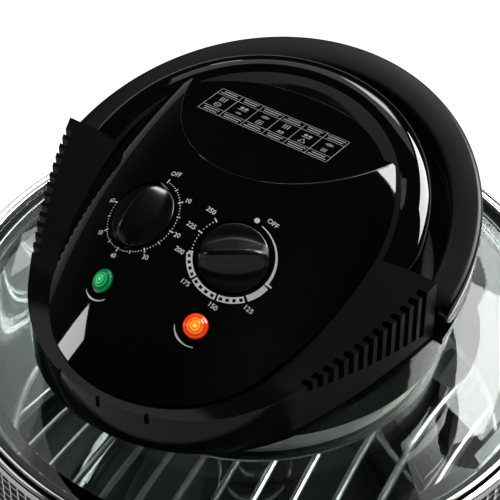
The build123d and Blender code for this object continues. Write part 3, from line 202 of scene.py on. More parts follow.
# Studio, in metres.
CAMERA_PLACE, CAMERA_AIM = (0.4417, -0.6537, 0.7805 + GLASS_Z), (-0.4129, 0.6057, -0.6802)
CAMERA_LENS, CAMERA_FILM, CAMERA_REACH = 144, 36, 20
FLOOR_HALF_W, FLOOR_COLOUR = 7.0, (0.8, 0.8, 0.8, 1)
FLOOR_WHITER = (0.5, 1.8)  # distances from the oven over which the floor's own glow rises to full white
ROOM_DARK_LEVEL = 0.42
SIDE_GLOW_AIM, SIDE_GLOW_FOCUS = (0.67, -0.37, 0.62), 14.0


# ---- Shader groups and finishes --------------------------------------------------------------------
def new_group(name, inputs, outputs, kind="ShaderNodeTree"):
    """An empty node group with named sockets."""
    group = bpy.data.node_groups.new(name, kind)
    for label, kind in inputs:
        group.interface.new_socket(label, in_out="INPUT", socket_type=kind)
    for label, kind in outputs:
        group.interface.new_socket(label, in_out="OUTPUT", socket_type=kind)
    return group, group.nodes.new("NodeGroupInput"), group.nodes.new("NodeGroupOutput")


def feed(tree, entry, value):
    """Sets a socket to a plain value, or links it to another node's output."""
    if isinstance(value, (int, float)):
        entry.default_value = value
    else:
        tree.links.new(value, entry)


def math_node(tree, operation, first, second=None):
    """The result of a math node whose inputs are outputs or plain values."""
    node = tree.nodes.new("ShaderNodeMath")
    node.operation = operation
    feed(tree, node.inputs[0], first)
    if second is not None:
        feed(tree, node.inputs[1], second)
    return node.outputs[0]


def map_range(tree, value, start, end, low, high):
    """A node that goes from low to high while a value goes from start to end."""
    node = tree.nodes.new("ShaderNodeMapRange")
    names = ("Value", "From Min", "From Max", "To Min", "To Max")
    for name, given in zip(names, (value, start, end, low, high)):
        feed(tree, node.inputs[name], given)
    return node


def object_place(tree):
    """Coordinates in the piece's own space, in metres."""
    return tree.nodes.new("ShaderNodeTexCoord").outputs["Object"]


def noise(group, vector, scale, detail=3.0):
    """The value of a noise texture."""
    node = group.nodes.new("ShaderNodeTexNoise")
    node.inputs["Detail"].default_value = detail
    group.links.new(vector, node.inputs["Vector"])
    group.links.new(scale, node.inputs["Scale"])
    return node.outputs["Fac"]


VALUE, COLOUR = "NodeSocketFloat", "NodeSocketColor"
FINISH_INPUTS = [
    ("Colour", COLOUR),
    ("Worn Colour", COLOUR),
    ("Roughness", VALUE),
    ("Spread", VALUE),
    ("Blotch Scale", VALUE),
    ("Grain Scale", VALUE),
]
FINISH_OUTPUTS = [("Colour", COLOUR), ("Roughness", VALUE), ("Height", VALUE)]


def finish_outputs(group, given, result, blotch, grain):
    """The shared end of both finish groups: tinted colour, varied roughness and grain height."""
    centred = math_node(group, "SUBTRACT", blotch, 0.5)
    swing = math_node(group, "MULTIPLY", centred, 2.0)
    varied = math_node(group, "MULTIPLY", swing, given.outputs["Spread"])
    total = math_node(group, "ADD", varied, given.outputs["Roughness"])
    group.links.new(math_node(group, "MAXIMUM", total, 0.0), result.inputs["Roughness"])
    mix = group.nodes.new("ShaderNodeMix")
    mix.data_type = "RGBA"
    into = {entry.identifier: entry for entry in mix.inputs}
    group.links.new(blotch, into["Factor_Float"])
    group.links.new(given.outputs["Colour"], into["A_Color"])
    group.links.new(given.outputs["Worn Colour"], into["B_Color"])
    mixed = [entry for entry in mix.outputs if entry.identifier == "Result_Color"][0]
    group.links.new(mixed, result.inputs["Colour"])
    group.links.new(grain, result.inputs["Height"])


def moulded_group():
    """Even surfaces: soft blotches in colour and roughness, and a fine grain."""
    if "moulded_surface" in bpy.data.node_groups:
        return bpy.data.node_groups["moulded_surface"]
    group, given, result = new_group("moulded_surface", FINISH_INPUTS, FINISH_OUTPUTS)
    place = object_place(group)
    blotch = noise(group, place, given.outputs["Blotch Scale"])
    grain = noise(group, place, given.outputs["Grain Scale"], 2.0)
    finish_outputs(group, given, result, blotch, grain)
    return group


def turned_group():
    """Metal with fine lines that run round the oven's axis."""
    if "turned_surface" in bpy.data.node_groups:
        return bpy.data.node_groups["turned_surface"]
    group, given, result = new_group("turned_surface", FINISH_INPUTS, FINISH_OUTPUTS)
    place = object_place(group)
    split = group.nodes.new("ShaderNodeSeparateXYZ")
    group.links.new(place, split.inputs[0])
    square_x = math_node(group, "MULTIPLY", split.outputs["X"], split.outputs["X"])
    square_y = math_node(group, "MULTIPLY", split.outputs["Y"], split.outputs["Y"])
    radius = math_node(group, "SQRT", math_node(group, "ADD", square_x, square_y))
    lines = group.nodes.new("ShaderNodeCombineXYZ")
    group.links.new(radius, lines.inputs["X"])
    group.links.new(split.outputs["Z"], lines.inputs["Y"])
    blotch = noise(group, place, given.outputs["Blotch Scale"])
    grain = noise(group, lines.outputs[0], given.outputs["Grain Scale"], 4.0)
    half_blotch = math_node(group, "MULTIPLY", blotch, 0.5)
    half_grain = math_node(group, "MULTIPLY", grain, 0.5)
    finish_outputs(group, given, result, math_node(group, "ADD", half_blotch, half_grain), grain)
    return group


# colour, worn colour, roughness, spread, blotch scale, grain scale, grain height in mm, metallic
FINISHES = {
    "black_gloss": ((0.0028, 0.0028, 0.003), (0.004, 0.004, 0.0042), 0.035, 0.03, 18, 24, 0.03, 0.0),
    "black_satin": ((0.004, 0.004, 0.004), (0.006, 0.006, 0.006), 0.34, 0.06, 30, 1800, 0.012, 0.0),
    "knob_black": ((0.003, 0.003, 0.003), (0.0045, 0.0045, 0.0045), 0.28, 0.06, 60, 900, 0.008, 0.0),
    "bowl_glass": ((0.90, 0.96, 0.94), (0.93, 0.98, 0.96), 0.0, 0.004, 12, 9, 0.05, 0.0),
    "bright_steel": ((0.78, 0.78, 0.77), (0.70, 0.70, 0.69), 0.10, 0.05, 40, 500, 0.004, 1.0),
    "satin_steel": ((0.62, 0.62, 0.61), (0.54, 0.54, 0.53), 0.26, 0.08, 30, 700, 0.006, 1.0),
    # The collar's light, mostly diffuse colour stands in for the steel's bright reflection: a painted
    # reflection.
    "collar_steel_painted_reflection": ((0.80, 0.81, 0.77), (0.70, 0.71, 0.67), 0.26, 0.08, 30, 700, 0.006, 0.3),
    "reflector_steel": ((0.80, 0.80, 0.79), (0.70, 0.69, 0.67), 0.16, 0.08, 30, 500, 0.008, 1.0),
    "screw_steel": ((0.56, 0.56, 0.55), (0.46, 0.46, 0.45), 0.25, 0.08, 300, 2500, 0.006, 1.0),
    "black_wire": ((0.006, 0.006, 0.006), (0.012, 0.012, 0.012), 0.32, 0.08, 80, 1500, 0.01, 0.0),
    "rubber": ((0.010, 0.010, 0.010), (0.018, 0.018, 0.018), 0.62, 0.1, 120, 2200, 0.02, 0.0),
    "ceramic": ((0.80, 0.77, 0.70), (0.70, 0.66, 0.58), 0.5, 0.1, 150, 1800, 0.02, 0.0),
    "quartz": ((0.95, 0.95, 0.94), (0.90, 0.90, 0.90), 0.02, 0.02, 60, 100, 0.01, 0.0),
    "white_plastic": ((0.78, 0.78, 0.75), (0.70, 0.70, 0.66), 0.4, 0.1, 90, 1600, 0.01, 0.0),
    "motor_paint": ((0.16, 0.16, 0.18), (0.22, 0.22, 0.23), 0.4, 0.1, 90, 1600, 0.01, 0.0),
    "filament": ((0.55, 0.50, 0.45), (0.40, 0.36, 0.32), 0.4, 0.1, 400, 3000, 0.01, 1.0),
    "guard_steel": ((0.70, 0.70, 0.69), (0.60, 0.60, 0.59), 0.18, 0.08, 60, 900, 0.004, 1.0),
    "rack_steel": ((0.62, 0.62, 0.61), (0.52, 0.52, 0.51), 0.2, 0.06, 60, 900, 0.004, 0.8),
    # The light grey inside of the sheet behind the guard's mesh stands in for the light seen inside the
    # bowl: painted light.
    "sheet_painted_light_grey": ((0.52, 0.53, 0.53), (0.44, 0.45, 0.45), 0.35, 0.08, 20, 900, 0.004, 0.0),
    "print_white": ((0.86, 0.86, 0.85), (0.78, 0.78, 0.77), 0.45, 0.05, 300, 4000, 0.002, 0.0),
    "print_grey": ((0.42, 0.42, 0.42), (0.34, 0.34, 0.34), 0.5, 0.05, 300, 4000, 0.002, 0.0),
}
SHADER_EXTRAS = {
    "black_satin": {"Specular IOR Level": 0.22},
    "bowl_glass": {"Transmission Weight": 1.0, "IOR": 1.47},
    "quartz": {"Transmission Weight": 0.9},
}
GLASS_SHADOW = (0.88, 0.92, 0.90, 1)
TURNED = {"satin_steel", "collar_steel_painted_reflection", "reflector_steel"}
PREFIX = "oven_"


def node_material(name):
    """A new node material, its tree and its shader."""
    material = bpy.data.materials.new(PREFIX + name)
    material.use_nodes = True
    return material, material.node_tree, material.node_tree.nodes["Principled BSDF"]


def add_surface(tree, shader, group, rough, spread, blotch, grain, height):
    """Adds a finish group with its roughness and its bump, whose height is in millimetres."""
    surface = tree.nodes.new("ShaderNodeGroup")
    surface.node_tree = group
    surface.inputs["Roughness"].default_value = rough
    surface.inputs["Spread"].default_value = spread
    surface.inputs["Blotch Scale"].default_value = blotch
    surface.inputs["Grain Scale"].default_value = grain
    bump = tree.nodes.new("ShaderNodeBump")
    bump.inputs["Distance"].default_value = height * MM
    tree.links.new(surface.outputs["Roughness"], shader.inputs["Roughness"])
    tree.links.new(surface.outputs["Height"], bump.inputs["Height"])
    tree.links.new(bump.outputs["Normal"], shader.inputs["Normal"])
    return surface


def finish(name):
    """The material of a finish, made when it is first asked for."""
    if PREFIX + name in bpy.data.materials:
        return bpy.data.materials[PREFIX + name]
    if name in LIT_LENSES:
        return lens_material(name)
    colour, worn, rough, spread, blotch, grain, height, metallic = FINISHES[name]
    material, tree, shader = node_material(name)
    shader.inputs["Metallic"].default_value = metallic
    for label, value in SHADER_EXTRAS.get(name, {}).items():
        shader.inputs[label].default_value = value
    group = turned_group() if name in TURNED else moulded_group()
    surface = add_surface(tree, shader, group, rough, spread, blotch, grain, height)
    surface.inputs["Colour"].default_value = (*colour, 1)
    surface.inputs["Worn Colour"].default_value = (*worn, 1)
    tree.links.new(surface.outputs["Colour"], shader.inputs["Base Color"])
    if name == "bowl_glass":
        let_light_through(tree, shader)
    return material


def let_light_through(tree, shader):
    """Clear glass casts no full shadow, so that lamps light what is behind it."""
    path = tree.nodes.new("ShaderNodeLightPath")
    clear = tree.nodes.new("ShaderNodeBsdfTransparent")
    clear.inputs["Color"].default_value = GLASS_SHADOW
    mix = tree.nodes.new("ShaderNodeMixShader")
    tree.links.new(path.outputs["Is Shadow Ray"], mix.inputs[0])
    tree.links.new(shader.outputs[0], mix.inputs[1])
    tree.links.new(clear.outputs[0], mix.inputs[2])
    tree.links.new(mix.outputs[0], tree.nodes["Material Output"].inputs["Surface"])


# Stops of colour from a lens's middle to its rim, and how strongly it glows. The glow stands for the lamp
# behind the lens. The alternating bright and dark stops are painted glints and painted shade on the moulded
# rings, and the dark last stop is a painted shaded rim.
LIT_LENSES = {
    "green_lens": (
        [
            (0.0, (0.50, 1.0, 0.60)),
            (0.12, (0.10, 0.75, 0.25)),
            (0.20, (0.0, 0.22, 0.07)),
            (0.32, (0.08, 0.72, 0.24)),
            (0.44, (0.0, 0.15, 0.05)),
            (0.56, (0.03, 0.50, 0.16)),
            (0.70, (0.0, 0.06, 0.02)),
            (0.86, (0.01, 0.28, 0.09)),
            (1.0, (0.0, 0.02, 0.01)),
        ],
        0.42,
    ),
    "amber_lens": (
        [
            (0.0, (1.0, 0.80, 0.15)),
            (0.14, (1.0, 0.50, 0.04)),
            (0.22, (0.90, 0.12, 0.01)),
            (0.33, (1.0, 0.42, 0.03)),
            (0.45, (0.80, 0.06, 0.01)),
            (0.57, (1.0, 0.20, 0.02)),
            (0.72, (0.55, 0.02, 0.0)),
            (0.86, (0.90, 0.07, 0.01)),
            (1.0, (0.20, 0.0, 0.0)),
        ],
        0.7,
    ),
}
# roughness, spread, blotch scale, grain scale, grain height in mm
LENS_SURFACE = (0.08, 0.05, 300, 700, 0.05)
SKIRT_ROUGHNESS = 0.04
GLOSS_ENDS_Y, SATIN_STARTS_Y = -0.096, -0.086


def cover_material():
    """The upper cover's black: satin round the dials and the comb, glossy on the front skirt."""
    material = finish("black_satin").copy()
    material.name = PREFIX + "cover_black"
    tree = material.node_tree
    shader = tree.nodes["Principled BSDF"]
    inputs, outputs = [("Satin", VALUE), ("Gloss", VALUE)], [("Roughness", VALUE)]
    group, given, result = new_group("gloss_in_front", inputs, outputs)
    split = group.nodes.new("ShaderNodeSeparateXYZ")
    group.links.new(object_place(group), split.inputs[0])
    gloss, satin = given.outputs["Gloss"], given.outputs["Satin"]
    ramp = map_range(group, split.outputs["Y"], GLOSS_ENDS_Y, SATIN_STARTS_Y, gloss, satin)
    group.links.new(ramp.outputs["Result"], result.inputs["Roughness"])
    mask = tree.nodes.new("ShaderNodeGroup")
    mask.node_tree = group
    mask.inputs["Gloss"].default_value = SKIRT_ROUGHNESS
    surface = [node for node in tree.nodes if node.bl_idname == "ShaderNodeGroup" and node != mask][0]
    tree.links.new(surface.outputs["Roughness"], mask.inputs["Satin"])
    tree.links.new(mask.outputs["Roughness"], shader.inputs["Roughness"])
    return material


def lens_material(name):
    """A moulded lens lit from behind, coloured by its own ring attribute, with painted glints and painted
    shade on its rings and rim.
    """
    stops, glow = LIT_LENSES[name]
    material, tree, shader = node_material(name)
    ring = tree.nodes.new("ShaderNodeAttribute")
    ring.attribute_name = "ring"
    ramp = tree.nodes.new("ShaderNodeValToRGB")
    elements = ramp.color_ramp.elements
    elements[0].color = (*stops[0][1], 1)
    elements[1].color = (*stops[-1][1], 1)
    for position, colour in stops[1:-1]:
        elements.new(position).color = (*colour, 1)
    tree.links.new(ring.outputs["Fac"], ramp.inputs["Fac"])
    tree.links.new(ramp.outputs["Color"], shader.inputs["Base Color"])
    tree.links.new(ramp.outputs["Color"], shader.inputs["Emission Color"])
    shader.inputs["Emission Strength"].default_value = glow
    add_surface(tree, shader, moulded_group(), *LENS_SURFACE)
    return material


# ---- Mesh helpers ----------------------------------------------------------------------------------
MERGE_DISTANCE, EMPTY_DISTANCE, FLAT_ANGLE = 2e-6, 1e-6, math.radians(0.6)


def placed(name, data):
    """A new object in the scene."""
    obj = bpy.data.objects.new(name, data)
    bpy.context.scene.collection.objects.link(obj)
    return obj


def evaluated_mesh(obj):
    """A plain mesh of what an object looks like with its modifiers."""
    graph = bpy.context.evaluated_depsgraph_get()
    graph.update()
    return bpy.data.meshes.new_from_object(obj.evaluated_get(graph))


def mesh_object(name, vertices, faces, lift=0.0):
    """An object from millimetre vertices, raised by lift millimetres."""
    mesh = bpy.data.meshes.new(name)
    mesh.from_pydata([(x * MM, y * MM, (z + lift) * MM) for x, y, z in vertices], [], faces)
    return placed(name, mesh)


def clean(obj, sharp=35.0):
    """Merges doubles, drops empty faces, turns normals outwards and shades smoothly up to an angle."""
    mesh = obj.data
    work = bmesh.new()
    work.from_mesh(mesh)
    bmesh.ops.remove_doubles(work, verts=work.verts, dist=MERGE_DISTANCE)
    bmesh.ops.dissolve_degenerate(work, edges=work.edges, dist=EMPTY_DISTANCE)
    bmesh.ops.recalc_face_normals(work, faces=work.faces)
    work.to_mesh(mesh)
    work.free()
    mesh.shade_smooth()
    mesh.set_sharp_from_angle(angle=math.radians(sharp))
    mesh.update()
    return obj


def grid_faces(rows, length, wrap_rows=False, wrap_points=True):
    """Quads between rows of points that are numbered one row after another."""
    faces = []
    for row in range(rows if wrap_rows else rows - 1):
        after = (row + 1) % rows
        for i in range(length if wrap_points else length - 1):
            j = (i + 1) % length
            faces.append((row * length + i, row * length + j, after * length + j, after * length + i))
    return faces


def swept(name, rows, wrap_rows=False, wrap_points=True, lift=0.0, sharp=35.0):
    """A skin over rows of points."""
    vertices = [point for row in rows for point in row]
    faces = grid_faces(len(rows), len(rows[0]), wrap_rows, wrap_points)
    return clean(mesh_object(name, vertices, faces, lift), sharp)


def lathe(name, outline, lift=0.0, segments=192):
    """A closed (radius, height) outline turned about Z."""
    rows = []
    for i in range(segments):
        angle = TURN * i / segments
        rows.append([(r * math.cos(angle), r * math.sin(angle), z) for r, z in outline])
    return swept(name, rows, wrap_rows=True, lift=lift)


def rounded(outline, radius, steps=4):
    """A closed outline with its corners rounded, each by at most 0.45 of its shorter side."""
    points = []
    count = len(outline)
    for i, corner in enumerate(outline):
        here = Vector(corner)
        before, after = Vector(outline[i - 1]) - here, Vector(outline[(i + 1) % count]) - here
        cut = min(radius, 0.45 * before.length, 0.45 * after.length)
        if here.x <= 0 or cut < 1e-4:
            points.append(tuple(here))
            continue
        start, end = here + before.normalized() * cut, here + after.normalized() * cut
        for step in range(steps + 1):
            t = step / steps
            points.append(tuple(start * (1 - t) ** 2 + here * 2 * t * (1 - t) + end * t * t))
    return points


def dress(obj, slot, body, *nodes, materials=None):
    """Gives a finished piece its finish, its body and the CAD nodes that it stands for."""
    obj.data.materials.clear()
    for name in materials or [slot]:
        obj.data.materials.append(finish(name))
    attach(obj, body)
    if nodes:
        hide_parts(*nodes)
    return obj


def node_body(node):
    """The body that a CAD node belongs to."""
    return body_of(frame["nodes"][node])[0]


def softened(node, width, steps=2, limit=32.0):
    """A copy of a CAD node with its doubles merged, flat faces joined and sharp edges rounded."""
    source = frame["nodes"][node]
    obj = placed(node + "_soft", source.data.copy())
    mesh = obj.data
    work = bmesh.new()
    work.from_mesh(mesh)
    bmesh.ops.remove_doubles(work, verts=work.verts, dist=MERGE_DISTANCE)
    bmesh.ops.dissolve_limit(work, angle_limit=FLAT_ANGLE, verts=work.verts, edges=work.edges)
    bmesh.ops.recalc_face_normals(work, faces=work.faces)
    work.to_mesh(mesh)
    work.free()
    if "custom_normal" in mesh.attributes:
        mesh.attributes.remove(mesh.attributes["custom_normal"])
    mesh.shade_smooth()
    bevel = obj.modifiers.new("edges", "BEVEL")
    bevel.width = width * MM
    bevel.segments = steps
    bevel.limit_method = "ANGLE"
    bevel.angle_limit = math.radians(limit)
    bevel.use_clamp_overlap = True
    weighted = obj.modifiers.new("flats", "WEIGHTED_NORMAL")
    weighted.keep_sharp = True
    return bake(obj)


def bake(obj):
    """Turns an object and its modifiers into a plain mesh."""
    mesh = evaluated_mesh(obj)
    obj.modifiers.clear()
    obj.data = mesh
    return obj


# ---- Geometry nodes --------------------------------------------------------------------------------
REPEAT_INPUTS = [
    ("Geometry", "NodeSocketGeometry"),
    ("Count", "NodeSocketInt"),
    ("First Turn", VALUE),
    ("Turn", VALUE),
    ("Step", "NodeSocketVector"),
    ("Material", "NodeSocketMaterial"),
]


def repeat_tree():
    """Repeats the host's mesh by equal turns about Z and equal steps."""
    name = "repeat_in_steps"
    if name in bpy.data.node_groups:
        return bpy.data.node_groups[name]
    tree, given, result = new_group(name, REPEAT_INPUTS, REPEAT_INPUTS[:1], "GeometryNodeTree")
    nodes, links = tree.nodes, tree.links
    points = nodes.new("GeometryNodePoints")
    index = nodes.new("GeometryNodeInputIndex")
    step = nodes.new("ShaderNodeVectorMath")
    step.operation = "SCALE"
    turn = nodes.new("ShaderNodeMath")
    turn.operation = "MULTIPLY_ADD"
    rotation = nodes.new("ShaderNodeCombineXYZ")
    copies = nodes.new("GeometryNodeInstanceOnPoints")
    real = nodes.new("GeometryNodeRealizeInstances")
    paint = nodes.new("GeometryNodeSetMaterial")
    links.new(given.outputs["Count"], points.inputs["Count"])
    links.new(given.outputs["Step"], step.inputs[0])
    links.new(index.outputs[0], step.inputs["Scale"])
    links.new(step.outputs[0], points.inputs["Position"])
    links.new(index.outputs[0], turn.inputs[0])
    links.new(given.outputs["Turn"], turn.inputs[1])
    links.new(given.outputs["First Turn"], turn.inputs[2])
    links.new(turn.outputs[0], rotation.inputs["Z"])
    links.new(points.outputs[0], copies.inputs["Points"])
    links.new(given.outputs["Geometry"], copies.inputs["Instance"])
    links.new(rotation.outputs[0], copies.inputs["Rotation"])
    links.new(copies.outputs[0], real.inputs[0])
    links.new(real.outputs[0], paint.inputs["Geometry"])
    links.new(given.outputs["Material"], paint.inputs["Material"])
    links.new(paint.outputs[0], result.inputs["Geometry"])
    return tree


def repeated(obj, slot, count, turn=0.0, step=(0, 0, 0), first=0.0):
    """Runs the repeating tree on an object and leaves a plain mesh."""
    tree = repeat_tree()
    values = {
        "Count": count,
        "First Turn": first,
        "Turn": turn,
        "Step": [value * MM for value in step],
        "Material": finish(slot),
    }
    modifier = obj.modifiers.new("repeat", "NODES")
    modifier.node_group = tree
    for item in tree.interface.items_tree:
        if item.in_out == "INPUT" and item.name in values:
            modifier[item.identifier] = values[item.name]
    return bake(obj)


def joined(name, objects):
    """One object from several, which are used up."""
    work = bmesh.new()
    for obj in objects:
        work.from_mesh(obj.data)
    mesh = bpy.data.meshes.new(name)
    work.to_mesh(mesh)
    work.free()
    for obj in objects:
        bpy.data.objects.remove(obj)
    obj = placed(name, mesh)
    mesh.shade_smooth()
    mesh.set_sharp_from_angle(angle=math.radians(35))
    return obj


def wire(name, path, radius, sides=8, closed=False, lift=0.0):
    """A round wire along a path of points, with level rings."""
    rows = []
    count = len(path)
    points = [Vector(point) for point in path]
    for i, here in enumerate(points):
        before = points[i - 1] if closed or i else here
        after = points[(i + 1) % count] if closed or i < count - 1 else here
        along = (after - before).normalized()
        side = along.cross(Vector((0, 0, 1)))
        if side.length < 1e-3:
            side = Vector((1, 0, 0))
        side.normalize()
        up = side.cross(along)
        row = []
        for k in range(sides):
            spin = TURN * k / sides
            row.append(tuple(here + side * radius * math.cos(spin) + up * radius * math.sin(spin)))
        rows.append(row)
    vertices = [point for row in rows for point in row]
    faces = grid_faces(count, sides, wrap_rows=closed)
    if not closed:
        faces.append(tuple(range(sides)))
        faces.append(tuple(range((count - 1) * sides, count * sides)))
    return clean(mesh_object(name, vertices, faces, lift), 50)


def circle_path(radius, z, count=160):
    """Points of a level circle about the oven's axis."""
    angles = [TURN * i / count for i in range(count)]
    return [(radius * math.cos(angle), radius * math.sin(angle), z) for angle in angles]


def bar_box(name, x0, x1, y0, y1, z0, z1):
    """A box between pairs of planes."""
    vertices = [(x, y, z) for z in (z0, z1) for x, y in ((x0, y0), (x1, y0), (x1, y1), (x0, y1))]
    faces = [(0, 3, 2, 1), (4, 5, 6, 7), (0, 1, 5, 4), (1, 2, 6, 5), (2, 3, 7, 6), (3, 0, 4, 7)]
    return mesh_object(name, vertices, faces)


# ---- The housing's own surfaces, about the lid glass -------------------------------------------------
def top_height(y):
    """Height of the cover's top line."""
    if y < TOP_KNEE_Y:
        centre_y, centre_z, radius = TOP_FRONT_ARC
        return centre_z - math.sqrt(radius**2 - (y - centre_y) ** 2)
    if y > TOP_BREAK_Y:
        centre_y, centre_z, radius = TOP_REAR_ARC
        return centre_z + math.sqrt(radius**2 - (y - centre_y) ** 2)
    return TOP_BREAK_Z + TOP_SLOPE * (y - TOP_BREAK_Y)


def dome_height(x, y):
    """Height of the control dome's skin."""
    reach = DOME_LONG_R - DOME_CROSS_R + math.sqrt(DOME_CROSS_R**2 - x**2)
    return DOME_Z + math.sqrt(reach**2 - (y - DOME_Y) ** 2)


def dome_frame(x, y):
    """Where a plane on the dome's skin lies, its level X, its uphill Y and its outward Z."""
    cross = math.sqrt(DOME_CROSS_R**2 - x**2)
    reach = DOME_LONG_R - DOME_CROSS_R + cross
    rise = math.sqrt(reach**2 - (y - DOME_Y) ** 2)
    normal = Vector((x, cross * (y - DOME_Y) / reach, cross * rise / reach)).normalized()
    level = Vector((0, 1, 0)).cross(normal).normalized()
    uphill = normal.cross(level)
    return Vector((x, y, DOME_Z + rise)), level, uphill, normal


def on_dome(place, a, b):
    """A point of the dome's skin over plane coordinates, raised a little."""
    origin, level, uphill, normal = place
    point = origin + level * a + uphill * b
    for _ in range(4):
        point = point - normal * ((point.z - dome_height(point.x, point.y)) / normal.z)
    return tuple(point + normal * PRINT_LIFT)


def on_plateau(a, b, lift=PRINT_LIFT):
    """A point of the sloping plateau, raised a little."""
    return (a, b, PLATEAU_Z + PLATEAU_SLOPE * b + lift)


# ---- Pieces ----------------------------------------------------------------------------------------
def crown_skin(settings):
    """The glossy crescent that rolls over the crown's outer edge."""
    inner_r = CROWN_R - settings.crescent_width / MM
    proud, rise = settings.crescent_proud / MM, settings.crescent_rise / MM
    roll_w, roll_h = settings.crescent_roll / MM, settings.crescent_drop / MM
    outer_r = CROWN_R + proud
    crest_r = outer_r - roll_w
    start = math.asin((COVER_REAR_Y - CROWN_Y) / CROWN_R)
    count, rising, rolling = 176, 6, 14
    rows = []
    for i in range(count + 1):
        angle = start + (math.pi - 2 * start) * i / count
        ease = min(1.0, CRESCENT_END_SHARE + min(i, count - i) / CRESCENT_END_ROWS)
        section = []
        for k in range(rising):
            t = k / rising
            height = rise * math.sin(t * math.pi / 2) ** CRESCENT_SWELL + CRESCENT_LIFT
            section.append((inner_r + (crest_r - inner_r) * t, height))
        for k in range(rolling + 1):
            t = math.pi / 2 * k / rolling
            section.append((crest_r + roll_w * math.sin(t), rise - roll_h * (1 - math.cos(t))))
        hem_z = rise - roll_h - CRESCENT_HEM
        section += [(outer_r, hem_z), (outer_r - CRESCENT_HEM_IN, hem_z), (inner_r, -CRESCENT_ROOT)]
        row = []
        for radius, height in section:
            radius = min(radius, CROWN_R + proud * ease)
            x, y = radius * math.cos(angle), CROWN_Y + radius * math.sin(angle)
            row.append((x, y, top_height(y) + (height * ease if height > 0 else height)))
        rows.append(row)
    length = len(rows[0])
    vertices = [point for row in rows for point in row]
    faces = grid_faces(len(rows), length)
    faces.append(tuple(range(length)))
    faces.append(tuple(range((len(rows) - 1) * length, len(rows) * length)))
    return clean(mesh_object("crown_skin", vertices, faces, LIFT), 50)


def plateau_crease(settings):
    """The fine rounded crease where the dome meets the plateau's front."""
    radius, bury = settings.crease / MM, settings.crease_bury / MM
    path = []
    for x in range(-CREASE_HALF_W, CREASE_HALF_W + 1):
        low, high = CREASE_LOW_Y, DOME_Y
        for _ in range(CREASE_HALVINGS):
            y = (low + high) / 2
            if dome_height(x, y) < on_plateau(x, y, -CREASE_DROP * bury)[2]:
                low = y
            else:
                high = y
        place, _, _, normal = dome_frame(x, low)
        path.append(tuple(place - normal * bury))
    return wire("plateau_crease", path, radius, sides=12, lift=LIFT)


def handle_span(y):
    """Lowest and highest points of the carry handle's tilted, round-ended side view at a depth."""
    half, sine, cosine = HANDLE_T / 2, math.sin(HANDLE_SLOPE), math.cos(HANDLE_SLOPE)
    bend = half * sine
    round_part = math.sqrt(max(0.0, half**2 - min(half, abs(y)) ** 2))
    high = HANDLE_Z + (round_part if y < -bend else (half + y * sine) / cosine)
    low = HANDLE_Z + (-round_part if y < bend else (-half + y * sine) / cosine)
    return low, high


def handle_sweep():
    """The carry handle's ring, with rounded edges and pill-shaped ends."""
    edge, steps = HANDLE_EDGE, HANDLE_EDGE_STEPS
    tip_y = -HANDLE_T / 2
    start = math.asin((tip_y - HANDLE_Y) / HANDLE_R)
    marks = [start + HANDLE_END_STEP * k**HANDLE_END_GROWTH for k in range(HANDLE_END_MARKS)]
    first = marks[-1]
    span = math.pi - 2 * first
    marks += [first + span * i / HANDLE_MARKS for i in range(1, HANDLE_MARKS)]
    marks += [math.pi - mark for mark in reversed(marks[:HANDLE_END_MARKS])]
    rows = []
    for mark in marks:
        corners = []
        for radius in (HANDLE_R, HANDLE_INNER_R):
            y = max(tip_y, HANDLE_Y + radius * math.sin(mark))
            corners.append((radius, handle_span(y)))
        row = []
        (outer, (outer_low, outer_high)), (inner, (inner_low, inner_high)) = corners
        quads = [
            (outer, outer_high, -1, -1),
            (inner, inner_high, 1, -1),
            (inner, inner_low, 1, 1),
            (outer, outer_low, -1, 1),
        ]
        for number, (radius, height, in_sign, z_sign) in enumerate(quads):
            span = outer_high - outer_low if number in (0, 3) else inner_high - inner_low
            edge_z = min(edge, max(0.0, span * 0.5))
            for k in range(steps + 1):
                t = math.pi / 2 * k / steps
                if number % 2 == 0:
                    across, along = 1 - math.cos(t), 1 - math.sin(t)
                else:
                    across, along = 1 - math.sin(t), 1 - math.cos(t)
                r = radius + in_sign * edge * across
                z = height + z_sign * edge_z * along
                row.append((r * math.cos(mark), max(tip_y, HANDLE_Y + r * math.sin(mark)), z))
        rows.append(row)
    obj = swept("carry_handle", rows, lift=LIFT, sharp=50)
    cap_ends(obj)
    return obj


def cap_ends(obj):
    """Closes what is left open at a skin's two ends."""
    work = bmesh.new()
    work.from_mesh(obj.data)
    open_edges = [edge for edge in work.edges if edge.is_boundary]
    if open_edges:
        bmesh.ops.holes_fill(work, edges=open_edges, sides=0)
        bmesh.ops.recalc_face_normals(work, faces=work.faces)
    work.to_mesh(obj.data)
    work.free()


def knob_height(u, v, radius, settings):
    """Height of a dial's face: crowned disc, two scoops and a boat-shaped grip along u."""
    rise = settings.grip_rise / MM
    disc = KNOB_EDGE_Z + KNOB_CROWN * (1 - (radius / KNOB_R) ** 2)
    out = (u / KNOB_R) ** 2
    width = GRIP_END_W + GRIP_SWELL * max(0.0, 1 - out)
    hollow = math.exp(-(((abs(v) - width - SCOOP_OUT) / SCOOP_W) ** 2))
    scoop = SCOOP_DEPTH * hollow * max(0.0, 1 - (u / SCOOP_REACH) ** 2)
    share = min(1.0, abs(v) / width)
    if share > GRIP_RIDGE:
        flank = (1 - share) ** GRIP_FLANK
    else:
        flank = (1 - GRIP_RIDGE) ** GRIP_FLANK + GRIP_RIDGE_CROWN * (1 - (share / GRIP_RIDGE) ** 2)
    along = max(0.0, 1 - (abs(u) / KNOB_R) ** GRIP_ENDS)
    return disc - scoop + rise * GRIP_GAIN * flank * along * (1 - GRIP_SAG * out)


